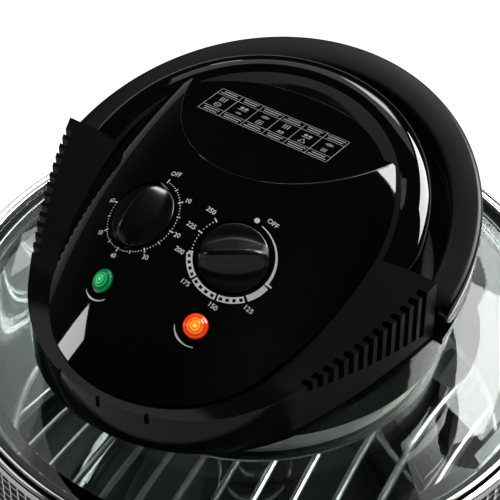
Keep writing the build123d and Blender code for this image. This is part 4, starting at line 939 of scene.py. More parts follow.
def knob_mesh(name, side, turn, settings):
    """A dial with its grip, standing in its well on the dome."""
    origin, level, uphill, normal = dome_frame(side * DIAL_X, DIAL_Y)
    angle = math.radians(turn)
    across = level * math.cos(angle) + uphill * math.sin(angle)
    along = uphill * math.cos(angle) - level * math.sin(angle)
    rings, spokes = 40, 128
    rows = []
    for i in range(spokes):
        spin = TURN * i / spokes
        row = []
        for k in range(rings + 1):
            radius = KNOB_FACE_R * k / rings
            u, v = radius * math.cos(spin), radius * math.sin(spin)
            row.append((u, v, knob_height(u, v, radius, settings)))
        for radius, height in KNOB_EDGE:
            row.append((radius * math.cos(spin), radius * math.sin(spin), height))
        rows.append([tuple(origin + along * u + across * v + normal * w) for u, v, w in row])
    return swept(name, rows, wrap_rows=True, wrap_points=False, lift=LIFT, sharp=60)


def lens_mesh(name, side):
    """A lens with moulded rings, and how far out each point lies as its ring attribute."""
    origin, level, uphill, normal = dome_frame(side * LAMP_X, LAMP_Y)
    spokes, rings = 64, 26
    rows, shares = [], []
    for i in range(spokes):
        spin = TURN * i / spokes
        row = []
        for k in range(rings + 1):
            share = k / rings
            radius = LENS_R * share
            ripple = LENS_RIPPLE * math.cos(share * LENS_RINGS * TURN) * (1 - LENS_RIPPLE_FADE * share)
            height = LENS_RISE * (1 - share**LENS_BULGE) + ripple * (share < LENS_RIPPLE_END)
            height = max(LENS_RIM_Z, height + LENS_STEP) if share < LENS_RIM_SHARE else LENS_RIM_Z
            row.append((radius, height))
            shares.append(share)
        row += [(LENS_R, LENS_FOOT_Z), (0.0, LENS_FOOT_Z)]
        shares += [1.0, 1.0]
        cos, sin = math.cos(spin), math.sin(spin)
        rows.append([tuple(origin + level * (r * cos) + uphill * (r * sin) + normal * z) for r, z in row])
    vertices = [point for row in rows for point in row]
    faces = grid_faces(spokes, len(rows[0]), wrap_rows=True, wrap_points=False)
    obj = mesh_object(name, vertices, faces, LIFT)
    ring = obj.data.attributes.new("ring", "FLOAT", "POINT")
    ring.data.foreach_set("value", shares)
    return clean(obj, 60)


# ---- Prints ----------------------------------------------------------------------------------------
def clock_point(radius, angle):
    """A point by its radius and its angle clockwise from uphill, in degrees."""
    spin = math.radians(angle)
    return radius * math.sin(spin), radius * math.cos(spin)


class Sheet:
    """Collects flat print shapes and lays them on a curved face."""

    def __init__(self, lay):
        self.lay = lay
        self.vertices = []
        self.faces = []

    def strip(self, left, right):
        """A ribbon between two equally long lines of points."""
        base = len(self.vertices)
        for first, second in zip(left, right):
            self.vertices += [self.lay(*first), self.lay(*second)]
        for i in range(len(left) - 1):
            self.faces.append((base + 2 * i, base + 2 * i + 1, base + 2 * i + 3, base + 2 * i + 2))

    def arc(self, radius, start, end, width, end_width=None, centre=(0.0, 0.0)):
        """An arc by angles clockwise from uphill, in degrees, whose width may change."""
        count = max(2, int(abs(end - start) / 4) + 1)
        end_width = width if end_width is None else end_width
        left, right = [], []
        for i in range(count + 1):
            t = i / count
            angle = math.radians(start + (end - start) * t)
            half = (width + (end_width - width) * t) / 2
            for side, line in ((-1, left), (1, right)):
                r = radius + side * half
                line.append((centre[0] + r * math.sin(angle), centre[1] + r * math.cos(angle)))
        self.strip(left, right)

    def tick(self, angle, radius, length, width):
        """A short radial mark at an angle."""
        spin = math.radians(angle)
        out, side = (math.sin(spin), math.cos(spin)), (math.cos(spin), -math.sin(spin))
        ends = [radius - length / 2, radius + length / 2]
        left = [(out[0] * r - side[0] * width / 2, out[1] * r - side[1] * width / 2) for r in ends]
        right = [(out[0] * r + side[0] * width / 2, out[1] * r + side[1] * width / 2) for r in ends]
        self.strip(left, right)

    def dot(self, x, y, radius, hole=0.0):
        """A round dot or ring."""
        count = 16
        ring = [(math.cos(TURN * i / count), math.sin(TURN * i / count)) for i in range(count + 1)]
        inner = [(x + hole * c, y + hole * s) for c, s in ring]
        outer = [(x + radius * c, y + radius * s) for c, s in ring]
        self.strip(inner, outer)

    def line(self, start, end, width):
        """A straight line."""
        span = Vector(end) - Vector(start)
        side = Vector((-span.y, span.x)).normalized() * width / 2
        parts = max(1, int(span.length / 4))
        points = [Vector(start) + span * i / parts for i in range(parts + 1)]
        self.strip([tuple(p - side) for p in points], [tuple(p + side) for p in points])

    def loop(self, corners, width):
        """Straight lines round a closed outline."""
        for first, second in zip(corners, corners[1:] + corners[:1]):
            self.line(first, second, width)

    def text(self, words, x, y, size):
        """Letters centred on a point."""
        curve = bpy.data.curves.new("letters", "FONT")
        curve.body = words
        curve.size = size
        curve.offset = size * LETTER_WEIGHT
        curve.align_x, curve.align_y = "CENTER", "CENTER"
        curve.resolution_u = 3
        holder = placed("letters", curve)
        mesh = evaluated_mesh(holder)
        base = len(self.vertices)
        self.vertices += [self.lay(x + vertex.co.x, y + vertex.co.y) for vertex in mesh.vertices]
        self.faces += [tuple(base + i for i in face.vertices) for face in mesh.polygons]
        bpy.data.objects.remove(holder)
        bpy.data.meshes.remove(mesh)
        bpy.data.curves.remove(curve)

    def piece(self, name):
        """The collected shapes as one object, all facing outwards."""
        obj = mesh_object(name, self.vertices, self.faces, LIFT)
        work = bmesh.new()
        work.from_mesh(obj.data)
        for face in work.faces:
            face.normal_update()
            if face.normal.z < 0:
                face.normal_flip()
        work.to_mesh(obj.data)
        work.free()
        return obj


def timer_print(settings):
    """Minute scale of the timer: dots, marks at the fives, longer ones at the tens, and numbers."""
    place = dome_frame(-DIAL_X, DIAL_Y)
    sheet = Sheet(lambda a, b: on_dome(place, a, b))
    for minute in range(61):
        angle = TIMER_OFF + TIMER_MINUTE * minute
        if minute % 10 == 0:
            sheet.tick(angle, *TEN_MARK)
        elif minute % 5 == 0:
            sheet.tick(angle, *FIVE_MARK)
        else:
            sheet.dot(*clock_point(MINUTE_DOT[0], angle), MINUTE_DOT[1])
    size = settings.digit_size / MM
    for minute in range(10, 61, 10):
        x, y = clock_point(TIMER_NUMBER_R, TIMER_OFF + TIMER_MINUTE * minute)
        sheet.text(str(minute), x, y, size)
    x, y = clock_point(TIMER_WORD_R, TIMER_OFF)
    sheet.text("OFF", x + TIMER_WORD_SHIFT[0], y + TIMER_WORD_SHIFT[1], size)
    return sheet.piece("timer_scale")


def heat_print(settings):
    """Temperature scale: marks, a segmented band and a tapering arc that ends in a dot."""
    place = dome_frame(DIAL_X, DIAL_Y)
    sheet = Sheet(lambda a, b: on_dome(place, a, b))
    for start, end in HEAT_SEGMENTS:
        low, high = end + HEAT_SEGMENT_GAP, start - HEAT_SEGMENT_GAP
        for radius, width in HEAT_RAILS:
            sheet.arc(radius, low, high, width)
        reach = (high - low) * HEAT_BLOCK_REACH
        for part in range(HEAT_BLOCKS):
            angle = low + (high - low) * part / (HEAT_BLOCKS - 1)
            edge_low, edge_high = max(low, angle - reach), min(high, angle + reach)
            sheet.arc(HEAT_BLOCK_R, edge_low, edge_high, HEAT_BLOCK_W)
    for arc in HEAT_ARCS:
        sheet.arc(*arc)
    sheet.tick(FIRST_HEAT_ANGLE, *FIRST_HEAT_MARK)
    sheet.dot(*clock_point(LAST_HEAT_DOT[0], LAST_HEAT_ANGLE), LAST_HEAT_DOT[1])
    size = settings.digit_size / MM
    for degrees, angle in HEAT_ANGLES.items():
        reach = HEAT_NUMBER_R + HEAT_NUMBER_SPREAD * abs(math.sin(math.radians(angle)))
        sheet.text(str(degrees), *clock_point(reach, angle), size)
    for angle in HEAT_MARK_ANGLES:
        sheet.tick(angle, *HEAT_MARK)
    for angle in HEAT_DOT_ANGLES:
        sheet.dot(*clock_point(HEAT_DOT[0], angle), HEAT_DOT[1])
    x, y = clock_point(HEAT_WORD_R, HEAT_WORD_ANGLE)
    sheet.text("OFF", x + HEAT_WORD_SHIFT[0], y + HEAT_WORD_SHIFT[1], size)
    return sheet.piece("heat_scale")


def lamp_print(side):
    """A white arc under a lamp, tapering at both ends."""
    place = dome_frame(side * LAMP_X, LAMP_Y)
    sheet = Sheet(lambda a, b: on_dome(place, a, b))
    for arc in LAMP_ARCS:
        sheet.arc(*arc)
    return sheet.piece("green_lamp_arc" if side < 0 else "amber_lamp_arc")


def motif(sheet, kind, x, y, size):
    """One of six simple cooking motifs."""
    if kind == 0:
        sheet.dot(x, y, size, size * 0.72)
        sheet.line((x - size * 0.6, y), (x + size * 0.6, y), size * 0.22)
    elif kind == 1:
        for k in (-1, 0, 1):
            bar_x = x + k * size * 0.55
            sheet.line((bar_x, y - size * 0.8), (bar_x, y + size * 0.8), size * 0.24)
    elif kind == 2:
        corners = [(x - size, y - size * 0.7), (x + size, y - size * 0.7), (x, y + size)]
        sheet.loop(corners, size * 0.22)
    elif kind == 3:
        sheet.dot(x - size * 0.45, y, size * 0.42)
        sheet.dot(x + size * 0.55, y, size * 0.42)
        sheet.line((x - size, y - size * 0.75), (x + size, y - size * 0.75), size * 0.2)
    elif kind == 4:
        half = size * 0.8
        corners = [(x - half, y - half), (x + half, y - half), (x + half, y + half), (x - half, y + half)]
        sheet.loop(corners, size * 0.2)
        sheet.dot(x, y, size * 0.35)
    else:
        for k in range(3):
            sheet.arc(size * (0.4 + 0.3 * k), -60, 60, size * 0.16, centre=(x, y - size * 0.6))


def guide_print(settings):
    """A small guide table on the plateau: framed cells with motifs between rows of short bars."""
    half_w, low, high = settings.guide_width / MM / 2, GUIDE_LOW, GUIDE_HIGH
    sheet = Sheet(on_plateau)
    for y in (low, low + GUIDE_FRAME, high - GUIDE_FRAME, high):
        sheet.line((GUIDE_X - half_w, y), (GUIDE_X + half_w, y), GUIDE_LINE)
    for k in range(GUIDE_COLUMNS + 1):
        x = GUIDE_X - half_w + 2 * half_w * k / GUIDE_COLUMNS
        sheet.line((x, low), (x, high), GUIDE_LINE)
    step = 2 * half_w / GUIDE_COLUMNS
    near, far = GUIDE_BAR_PLACES
    for k in range(GUIDE_COLUMNS):
        x = GUIDE_X - half_w + step * (k + 0.5)
        motif(sheet, (k * 2 + 1) % 6, x, (low + high) / 2 + 2.6, step * 0.2)
        motif(sheet, (k * 5) % 6, x, (low + high) / 2 - 3.0, step * 0.15)
        for row, y in enumerate((low + near, low + far, high - far, high - near)):
            reach = step * (0.3 + 0.05 * ((k + row) % 3))
            sheet.line((x - reach, y), (x + reach, y), GUIDE_BAR)
    return sheet.piece("plateau_guide")


# ---- Settings --------------------------------------------------------------------------------------
def length(name, description, default):
    """A setting in metres."""
    kind = {"unit": "LENGTH", "subtype": "DISTANCE"}
    return FloatProperty(name=name, description=description, default=default, **kind)


def factor(name, description, default):
    """A setting that is a plain number."""
    return FloatProperty(name=name, description=description, default=default)


def amount(name, description, default):
    """A setting that counts."""
    return IntProperty(name=name, description=description, default=default)


class OvenHousingSettings(PropertyGroup):
    """Sizes of the crescent, the crease and the housings' edges"""

    crescent_width: length("Crescent width", "Width of the glossy crescent round the crown", 0.0137)
    crescent_rise: length("Crescent rise", "How far the crescent swells above the cover", 0.002)
    crescent_proud: length("Crescent proud", "How far the crescent stands outside the crown", 0.002)
    crescent_roll: length("Crescent roll", "Width over which the crescent rolls down", 0.012)
    crescent_drop: length("Crescent drop", "Height over which the crescent rolls down", 0.008)
    edge: length("Edge", "Width of the rounding on the moulded housings", 0.0005)
    crease: length("Crease", "Radius of the crease in front of the plateau", 0.0004)
    crease_bury: length("Crease bury", "How deep the crease's middle lies under the dome's skin", 0.0003)


class OvenDialSettings(PropertyGroup):
    """Sizes of the dials and the prints"""

    grip_rise: length("Grip rise", "Height of the dial's grip above its disc", 0.0088)
    digit_size: length("Digit size", "Letter size of the printed numbers", 0.0036)
    guide_width: length("Guide width", "Width of the guide table on the plateau", 0.080)


class OvenWireSettings(PropertyGroup):
    """Numbers and sizes of the wires, and the stand's edges"""

    guard_bars: amount("Guard bars", "Upright bars of the guard's mesh", 165)
    guard_rungs: amount("Guard rungs", "Level wires of the guard's mesh", 31)
    rack_pitch: length("Rack pitch", "Distance between the rack's wires", 0.0182)
    tray_edge: length("Tray edge", "Width of the rounding on the stand's pieces", 0.0008)


class OvenStudioSettings(PropertyGroup):
    """Strengths of the studio's light"""

    horizon: factor("Horizon", "Brightness of the room at the horizon", 0.55)
    overhead: factor("Overhead", "Brightness of the room overhead", 0.012)
    side_glow: factor("Side glow", "Brightness of the soft glow at the right", 0.9)
    floor_glow: factor("Floor glow", "Own brightness of the white floor", 0.78)
    floor_mirrored: factor("Floor mirrored", "Share of the floor's glow in reflections", 0.15)
    panels: factor("Panels", "Strength of the soft light panels", 1.0)


# ---- Operators -------------------------------------------------------------------------------------
class PieceOperator:
    """Shared run of the piece builders."""

    bl_options = {"REGISTER", "UNDO"}

    def execute(self, context):
        for obj in self.build(context.scene):
            if not obj.data.polygons:
                self.report({"ERROR"}, obj.name + " came out empty")
                return {"CANCELLED"}
        return {"FINISHED"}


class OVEN_OT_frame_finishes(Operator):
    """Give every CAD node its finish"""

    bl_idname = "oven.frame_finishes"
    bl_label = "Frame Finishes"

    def execute(self, context):
        for part in frame["record"]["subparts"]:
            obj = frame["nodes"].get(part["node"])
            if obj is None:
                self.report({"ERROR"}, "No CAD node called " + part["node"])
                return {"CANCELLED"}
            obj.data.materials.clear()
            obj.data.materials.append(finish(part["material_slot"]))
        return {"FINISHED"}


class OVEN_OT_housing(PieceOperator, Operator):
    """Build the crown's glossy crescent, the softened housings and the plateau's crease"""

    bl_idname = "oven.housing"
    bl_label = "Housing"

    def build(self, scene):
        settings = scene.oven_housing
        width = settings.edge / MM
        skin = dress(crown_skin(settings), "black_gloss", "lid")
        cover = softened("upper_cover", width)
        dress(cover, "black_gloss", "lid", "upper_cover")
        cover.data.materials[0] = cover_material()
        lower = dress(softened("lower_housing", width), "black_gloss", "lid", "lower_housing")
        crease = dress(plateau_crease(settings), "black_gloss", "lid")
        return [skin, cover, lower, crease]


class OVEN_OT_handle(PieceOperator, Operator):
    """Build the carry handle"""

    bl_idname = "oven.handle"
    bl_label = "Carry Handle"

    def build(self, scene):
        ring = handle_sweep()
        dress(ring, "black_satin", "handle", "handle_ring", materials=["black_satin", "black_gloss"])
        for face in ring.data.polygons:
            face.material_index = 0 if face.normal.z > HANDLE_TOP_FACING else 1
        return [ring]


class OVEN_OT_dials(PieceOperator, Operator):
    """Build the two dials"""

    bl_idname = "oven.dials"
    bl_label = "Dials"

    def build(self, scene):
        settings = scene.oven_dials
        timer = knob_mesh("timer_dial", -1, TIMER_TURN, settings)
        heat = knob_mesh("thermostat_dial", 1, HEAT_TURN, settings)
        return [
            dress(timer, "knob_black", "timer", "timer_knob"),
            dress(heat, "knob_black", "thermostat", "thermostat_knob"),
        ]


class OVEN_OT_lamps(PieceOperator, Operator):
    """Build the two lamp lenses"""

    bl_idname = "oven.lamps"
    bl_label = "Lamps"

    def build(self, scene):
        green = lens_mesh("green_lamp_lens", -1)
        amber = lens_mesh("amber_lamp_lens", 1)
        return [
            dress(green, "green_lens", "lid", "power_lens"),
            dress(amber, "amber_lens", "lid", "heat_lens"),
        ]


class OVEN_OT_prints(PieceOperator, Operator):
    """Print the scales, the lamp arcs and the plateau's guide"""

    bl_idname = "oven.prints"
    bl_label = "Prints"

    def build(self, scene):
        settings = scene.oven_dials
        white = [timer_print(settings), heat_print(settings), lamp_print(-1), lamp_print(1)]
        pieces = [dress(obj, "print_white", "lid") for obj in white]
        return pieces + [dress(guide_print(settings), "print_grey", "lid")]


# name, outline, rounding, lift, finish, body, CAD node
RIM_RINGS = [
    ("lid_glass_clear", LID_GLASS_OUTLINE, 0.8, LIFT, "bowl_glass", "lid", "lid_glass"),
    ("lid_gasket", GASKET_OUTLINE, 0.25, LIFT, "rubber", "lid", "rim_gasket"),
    ("lid_rim_ring", LID_RIM_OUTLINE, 0.5, LIFT, "bright_steel", "lid", "lid_rim"),
    ("rim_band_ring", BAND_OUTLINE, 0.7, 0.0, "bright_steel", "stand", "rim_band"),
]


class OVEN_OT_rim(PieceOperator, Operator):
    """Build the lid glass, its rim and the band that it rests in"""

    bl_idname = "oven.rim"
    bl_label = "Rim"

    def build(self, scene):
        pieces = []
        for name, outline, radius, lift, slot, body, node in RIM_RINGS:
            pieces.append(dress(lathe(name, rounded(outline, radius), lift), slot, body, node))
        return pieces


def tube_path(count, start=0.0, share=1.0, coil_r=0.0, turns=0):
    """Points along a share of the lamp tube's middle line, or wound round it."""
    first, last = TUBE_ENDS
    path = []
    for i in range(count + 1):
        angle = first + (last - first) * (start + share * i / count)
        twist = TURN * turns * i / count
        radius = TUBE_ORBIT_R + coil_r * math.cos(twist)
        path.append((radius * math.cos(angle), radius * math.sin(angle), TUBE_Z + coil_r * math.sin(twist)))
    return path


def chamber_guard():
    """The wire guard under the lid: level rings on spokes round a hub."""
    rings = []
    for radius in GUARD_RING_RADII:
        rings.append(wire("guard_ring", circle_path(radius, SPOKE_Z), GUARD_RING_WIRE_R, 8, True, LIFT))
    spoke = wire("guard_spoke", [(radius, 0, SPOKE_Z) for radius in SPOKE_RADII], SPOKE_WIRE_R, 8, lift=LIFT)
    spokes = repeated(spoke, "bright_steel", SPOKE_COUNT, TURN / SPOKE_COUNT)
    hub = lathe("guard_hub", HUB_OUTLINE, LIFT, 64)
    return joined("chamber_guard", rings + [spokes, hub])


class OVEN_OT_chamber(PieceOperator, Operator):
    """Build the heating chamber: collar, reflector, lamp tube with its filament, and wire guard"""

    bl_idname = "oven.chamber"
    bl_label = "Heating Chamber"

    def build(self, scene):
        tube = wire("lamp_tube", tube_path(144), TUBE_R, 20, lift=LIFT)
        winding = tube_path(2400, COIL_START, COIL_SHARE, COIL_R, COIL_TURNS)
        coil = wire("lamp_filament", winding, COIL_WIRE_R, 4, lift=LIFT)
        guard = chamber_guard()
        collar = lathe("collar_band", rounded(COLLAR_OUTLINE, 0.5), LIFT)
        dish = lathe("reflector_dish", DISH_OUTLINE, LIFT)
        return [
            dress(collar, "satin_steel", "lid", "collar", materials=["collar_steel_painted_reflection"]),
            dress(dish, "reflector_steel", "lid", "reflector"),
            dress(tube, "quartz", "lid", "halogen_tube"),
            dress(coil, "filament", "lid"),
            dress(guard, "bright_steel", "lid", "fan_guard"),
        ]


class OVEN_OT_bowl(PieceOperator, Operator):
    """Build the glass bowl and the wire rack in it"""

    bl_idname = "oven.bowl"
    bl_label = "Bowl and Rack"

    def build(self, scene):
        settings = scene.oven_wires
        bowl = dress(bowl_mesh(), "bowl_glass", "stand", "glass_bowl")
        rack = dress(rack_mesh(settings), "satin_steel", "stand", "wire_rack", materials=["rack_steel"])
        return [bowl, rack]


def bowl_face(low_r, high_r, low, high, corner):
    """One face of the bowl from its middle upwards: floor, round corner and leaning wall."""
    lean = math.atan2(high - low, high_r - low_r)
    centre_r, centre_z = low_r - corner * math.tan(lean / 2), low + corner
    points = [(0.0, low)]
    for step in range(BOWL_CORNER_STEPS + 1):
        angle = lean * step / BOWL_CORNER_STEPS
        points.append((centre_r + corner * math.sin(angle), centre_z - corner * math.cos(angle)))
    return points + [(high_r, high)]


def bowl_mesh():
    """The bowl with its flat flange."""
    outer, inner = bowl_face(*BOWL_OUTSIDE), bowl_face(*BOWL_INSIDE)
    return lathe("bowl_clear", outer + BOWL_FLANGE + inner[::-1], segments=160)


def rack_mesh(settings):
    """The rack: a round wire ring, straight wires across it and four bent legs."""
    pitch = settings.rack_pitch / MM
    rows = int((RACK_R - RACK_MARGIN) // pitch)
    pieces = [wire("rack_ring", circle_path(RACK_R, RACK_Z), RACK_RING_WIRE_R, 10, True)]
    for row in range(-rows, rows + 1):
        x = row * pitch
        half = math.sqrt(RACK_R**2 - x**2)
        path = [(x, y, RACK_Z + RACK_WIRES_RISE) for y in (-half, 0, half)]
        pieces.append(wire("rack_wire", path, RACK_WIRE_R, 10))
    leg = wire("rack_leg", [(radius, 0, z) for radius, z in RACK_LEG], RACK_LEG_WIRE_R, 10)
    pieces.append(repeated(leg, "bright_steel", 4, FOUR_WAYS, first=DIAGONAL))
    return joined("rack_wires", pieces)


def guard_section(insets, low, high):
    """A rectangular outline inside the guard's outer face."""
    inner, outer = GUARD_R - insets[0], GUARD_R - insets[1]
    return [(inner, low), (outer, low), (outer, high), (inner, high)]


class OVEN_OT_guard(PieceOperator, Operator):
    """Build the guard's fine wire mesh and the sheet of painted shade and painted light behind it"""

    bl_idname = "oven.guard"
    bl_label = "Guard"

    def build(self, scene):
        settings = scene.oven_wires
        bars, rungs = settings.guard_bars, settings.guard_rungs
        low, high = GUARD_LOW, GUARD_HIGH
        inner, outer = GUARD_R - BAR_INSETS[0], GUARD_R - BAR_INSETS[1]
        bar = bar_box("guard_bar", inner, outer, -BAR_HALF_W, BAR_HALF_W, low, high)
        uprights = repeated(bar, "guard_steel", bars, TURN / bars, first=TURN / bars / 2)
        rung = lathe("guard_rung", guard_section(RUNG_INSETS, low, low + RUNG_H), 0.0, GUARD_FACETS)
        step = (high - low - RUNG_H) / (rungs + 1)
        levels = repeated(rung, "guard_steel", rungs + 2, step=(0, 0, step))
        hoops = []
        for z in (low, high - HOOP_H):
            outline = rounded(guard_section(HOOP_INSETS, z, z + HOOP_H), HOOP_ROUNDING)
            hoops.append(lathe("guard_hoop", outline, 0.0, GUARD_FACETS))
        mesh = joined("guard_wire_mesh", [uprights, levels] + hoops)
        # A sheet behind the mesh: black outside as painted shade seen through the mesh, light grey inside as
        # painted light seen through the bowl.
        shade_sheet = lathe("guard_backing", guard_section(SHADE_SHEET_INSETS, low, high))
        dress(shade_sheet, "black_wire", "stand", materials=["black_wire", "sheet_painted_light_grey"])
        # Faces that look in towards the axis take the light grey, painted light; the others take the black,
        # painted shade.
        for face in shade_sheet.data.polygons:
            middle = face.center.normalized()
            face.material_index = int(face.normal.dot(middle) < -0.5)
        return [dress(mesh, "guard_steel", "stand", "guard_mesh"), shade_sheet]


STAND_NODES = (
    "base_tray",
    "side_grip_left",
    "side_grip_right",
    "hinge_bracket",
    "feet",
    "stand_posts",
    "lid_arm",
)


class OVEN_OT_stand(PieceOperator, Operator):
    """Soften the stand's moulded pieces, its posts and bracket, and the lid's arm"""

    bl_idname = "oven.stand"
    bl_label = "Stand"

    def build(self, scene):
        width = scene.oven_wires.tray_edge / MM
        pieces = []
        for node in STAND_NODES:
            slot = slot_of(node)
            pieces.append(dress(softened(node, width), slot, node_body(node), node))
        return pieces


def slot_of(node):
    """The material slot that the record gives a CAD node."""
    for part in frame["record"]["subparts"]:
        if part["node"] == node:
            return part["material_slot"]
    raise KeyError(node)


def screw_mesh(name):
    """A pan-head screw with a cross recess, its seat at the origin and its shank along -Z."""
    spokes, rings = 32, 8
    rows = []
    for i in range(spokes):
        spin = TURN * i / spokes
        row = []
        for k in range(rings + 1):
            r = SCREW_HEAD_R * k / rings
            x, y = r * math.cos(spin), r * math.sin(spin)
            z = SCREW_HEAD_H * (1 - SCREW_HEAD_DROP * (k / rings) ** 3)
            cross = min(abs(x), abs(y)) < CROSS_HALF_W and max(abs(x), abs(y)) < CROSS_REACH
            row.append((x, y, z - (CROSS_DEPTH if cross else 0.0)))
        row += [(r * math.cos(spin), r * math.sin(spin), z) for r, z in SCREW_SHANK]
        rows.append(row)
    return swept(name, rows, wrap_rows=True, wrap_points=False, sharp=40)


def screw_at(place, turn):
    """A screw with its seat at a place about the lid glass, turned about X by some degrees."""
    obj = screw_mesh("screw")
    matrix = Matrix.Rotation(math.radians(turn), 4, "X")
    matrix.translation = Vector((place[0], place[1], place[2] + LIFT)) * MM
    obj.data.transform(matrix)
    return obj


class OVEN_OT_screws(PieceOperator, Operator):
    """Build the screws"""

    bl_idname = "oven.screws"
    bl_label = "Screws"

    def build(self, scene):
        bracket, arm = screw_at(BRACKET_SCREW, -90), screw_at(ARM_SCREW, -90)
        clamp = screw_at(CLAMP_SCREW, 180)
        bracket = repeated(bracket, "screw_steel", 2, step=BRACKET_SCREW_STEP)
        arm = repeated(arm, "screw_steel", 2, step=ARM_SCREW_STEP)
        clamp = repeated(clamp, "screw_steel", CLAMP_SCREW_COUNT, FOUR_WAYS, first=DIAGONAL)
        bracket.name, arm.name, clamp.name = "bracket_screw_heads", "arm_screw_heads", "clamp_screw_heads"
        return [
            dress(bracket, "screw_steel", "stand", "hinge_bracket_screws"),
            dress(arm, "screw_steel", "lid", "lid_arm_screws"),
            dress(clamp, "screw_steel", "lid", "clamp_screws"),
        ]


class OVEN_OT_stage(Operator):
    """Set the camera, the white floor, the room and the light panels"""

    bl_idname = "oven.stage"
    bl_label = "Stage"

    def execute(self, context):
        settings = context.scene.oven_studio
        data = bpy.data.cameras.new("photo_camera")
        camera = placed("photo_camera", data)
        data.lens = CAMERA_LENS
        data.sensor_width = CAMERA_FILM
        data.clip_end = CAMERA_REACH
        camera.location = CAMERA_PLACE
        camera.rotation_euler = Vector(CAMERA_AIM).to_track_quat("-Z", "Y").to_euler()
        context.scene.camera = camera
        floor = make_floor(settings)
        make_room(context.scene, settings)
        for panel in PANELS:
            add_panel(settings, *panel)
        context.scene.view_settings.view_transform = "Standard"
        return {"FINISHED"}


LEVEL_LEFT, LEVEL_RIGHT = (0.75, 0.66, 0.0), (0.83, 0.56, 0.0)
LOW_LEFT, STEEP_RIGHT, ACROSS = (-0.45, 0.89, 0.0), (-0.68, 0.71, -0.74), (1.0, 0.0, 0.0)
# name, place, what it faces, direction of its width, width, height, radiance, whether mirrors alone show it
PANELS = [
    ("panel_right_pale", (-0.36, 0.93, 1.31), (0.10, 0.0, GLASS_Z), LEVEL_RIGHT, 0.28, 0.24, 9.0, True),
    ("panel_left_pale", (-0.93, 0.81, 1.22), (-0.15, 0.0, GLASS_Z), LEVEL_LEFT, 0.13, 0.10, 4.0, True),
    ("panel_back_dim", (-0.72, 0.98, 1.72), (0.0, -0.05, GLASS_Z), LEVEL_LEFT, 1.3, 0.8, 0.9, True),
    ("panel_left_low", (-1.16, -0.66, 0.66), (-0.06, -0.10, 0.29), LOW_LEFT, 0.24, 0.34, 9.0, True),
    ("panel_right_strip", (0.57, 0.95, 1.12), (0.09, 0.0, 0.31), STEEP_RIGHT, 0.85, 1.0, 17.0, True),
    ("panel_overhead", (-0.2, 0.1, 2.2), (0.0, 0.0, 0.2), ACROSS, 1.4, 1.4, 4.0, False),
]


def add_panel(settings, name, place, target, along, width, height, radiance, mirror_only):
    """A rectangular soft light of a given radiance, seen in gloss only or giving plain light only."""
    light = bpy.data.lights.new(name, "AREA")
    light.shape = "RECTANGLE"
    light.size, light.size_y = width, height
    light.energy = radiance * math.pi * width * height * settings.panels
    obj = placed(name, light)
    obj.visible_glossy = mirror_only
    obj.visible_diffuse = not mirror_only
    back = (Vector(place) - Vector(target)).normalized()
    side = Vector(along)
    side = (side - back * side.dot(back)).normalized()
    turn = Matrix((side, back.cross(side), back)).transposed().to_4x4()
    obj.matrix_world = Matrix.Translation(place) @ turn


def make_floor(settings):
    """A floor that keeps the oven's shadow, white to the camera and through glass, dim in mirrors."""
    mesh = bpy.data.meshes.new("floor")
    size = FLOOR_HALF_W
    corners = [(-size, -size, 0), (size, -size, 0), (size, size, 0), (-size, size, 0)]
    mesh.from_pydata(corners, [], [(0, 1, 2, 3)])
    floor = placed("floor", mesh)
    material = bpy.data.materials.new("floor_white")
    material.use_nodes = True
    tree = material.node_tree
    tree.nodes.remove(tree.nodes["Principled BSDF"])
    output = tree.nodes["Material Output"]
    matte = tree.nodes.new("ShaderNodeBsdfDiffuse")
    matte.inputs["Color"].default_value = FLOOR_COLOUR
    glow = tree.nodes.new("ShaderNodeEmission")
    path = tree.nodes.new("ShaderNodeLightPath")
    mirrored = math_node(tree, "MULTIPLY", path.outputs["Is Glossy Ray"], settings.floor_mirrored)
    seen = math_node(tree, "MAXIMUM", path.outputs["Is Camera Ray"], mirrored)
    seen = math_node(tree, "MAXIMUM", seen, path.outputs["Is Transmission Ray"])
    away = tree.nodes.new("ShaderNodeVectorMath")
    away.operation = "LENGTH"
    tree.links.new(object_place(tree), away.inputs[0])
    whiter = map_range(tree, away.outputs["Value"], *FLOOR_WHITER, settings.floor_glow, 1.0)
    tree.links.new(math_node(tree, "MULTIPLY", seen, whiter.outputs["Result"]), glow.inputs["Strength"])
    total = tree.nodes.new("ShaderNodeAddShader")
    tree.links.new(matte.outputs[0], total.inputs[0])
    tree.links.new(glow.outputs[0], total.inputs[1])
    tree.links.new(total.outputs[0], output.inputs["Surface"])
    mesh.materials.append(material)
    return floor


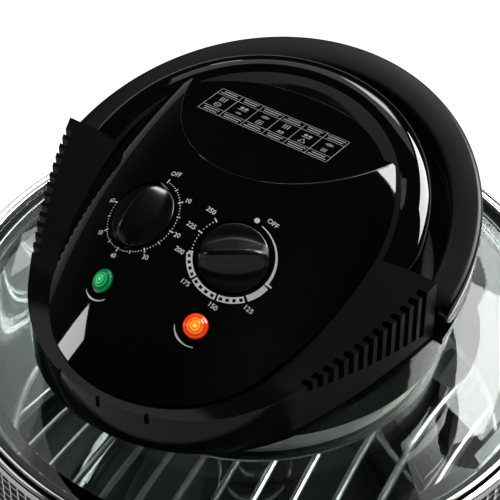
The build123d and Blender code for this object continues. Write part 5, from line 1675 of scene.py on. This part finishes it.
def make_room(scene, settings):
    """A room that is white to the camera and through glass; in mirrors it is pale low down, dark above."""
    world = bpy.data.worlds.new("studio")
    scene.world = world
    world.use_nodes = True
    tree = world.node_tree
    background = tree.nodes["Background"]
    place = tree.nodes.new("ShaderNodeTexCoord")
    split = tree.nodes.new("ShaderNodeSeparateXYZ")
    tree.links.new(place.outputs["Generated"], split.inputs[0])
    height = math_node(tree, "ABSOLUTE", split.outputs["Z"])
    ramp = map_range(tree, height, 0.0, ROOM_DARK_LEVEL, settings.horizon, settings.overhead)
    ramp.interpolation_type = "SMOOTHSTEP"
    glow = tree.nodes.new("ShaderNodeVectorMath")
    glow.operation = "DOT_PRODUCT"
    tree.links.new(place.outputs["Generated"], glow.inputs[0])
    glow.inputs[1].default_value = Vector(SIDE_GLOW_AIM).normalized()
    soft = math_node(tree, "MAXIMUM", glow.outputs["Value"], 0.0)
    soft = math_node(tree, "POWER", soft, SIDE_GLOW_FOCUS)
    soft = math_node(tree, "MULTIPLY", soft, settings.side_glow)
    path = tree.nodes.new("ShaderNodeLightPath")
    seen = math_node(tree, "MAXIMUM", path.outputs["Is Camera Ray"], path.outputs["Is Transmission Ray"])
    mirrored = math_node(tree, "ADD", soft, ramp.outputs["Result"])
    tree.links.new(math_node(tree, "MAXIMUM", mirrored, seen), background.inputs["Strength"])


# ---- Panel and registration ------------------------------------------------------------------------
BUILD_ORDER = (
    "frame_finishes",
    "housing",
    "handle",
    "dials",
    "lamps",
    "prints",
    "rim",
    "chamber",
    "bowl",
    "guard",
    "stand",
    "screws",
    "stage",
)


class OVEN_PT_looks(Panel):
    """Sidebar with the settings and the builders"""

    bl_label = "Halogen Oven"
    bl_idname = "OVEN_PT_looks"
    bl_space_type = "VIEW_3D"
    bl_region_type = "UI"
    bl_category = "Oven"

    def draw(self, context):
        scene = context.scene
        for settings in (scene.oven_housing, scene.oven_dials, scene.oven_wires, scene.oven_studio):
            for name in settings.__annotations__:
                self.layout.prop(settings, name)
        for name in BUILD_ORDER:
            self.layout.operator("oven." + name)


CLASSES = (
    OvenHousingSettings,
    OvenDialSettings,
    OvenWireSettings,
    OvenStudioSettings,
    OVEN_OT_frame_finishes,
    OVEN_OT_housing,
    OVEN_OT_handle,
    OVEN_OT_dials,
    OVEN_OT_lamps,
    OVEN_OT_prints,
    OVEN_OT_rim,
    OVEN_OT_chamber,
    OVEN_OT_bowl,
    OVEN_OT_guard,
    OVEN_OT_stand,
    OVEN_OT_screws,
    OVEN_OT_stage,
    OVEN_PT_looks,
)
SETTINGS = {
    "oven_housing": OvenHousingSettings,
    "oven_dials": OvenDialSettings,
    "oven_wires": OvenWireSettings,
    "oven_studio": OvenStudioSettings,
}


def register():
    """Makes the settings, the operators and the panel known to Blender."""
    for cls in CLASSES:
        bpy.utils.register_class(cls)
    for name, cls in SETTINGS.items():
        setattr(bpy.types.Scene, name, PointerProperty(type=cls))


def unregister():
    """Takes the settings, the operators and the panel away again."""
    for name in SETTINGS:
        delattr(bpy.types.Scene, name)
    for cls in reversed(CLASSES):
        bpy.utils.unregister_class(cls)


def main():
    """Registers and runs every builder."""
    register()
    for name in BUILD_ORDER:
        getattr(bpy.ops.oven, name)()


if __name__ == "__main__":
    main()
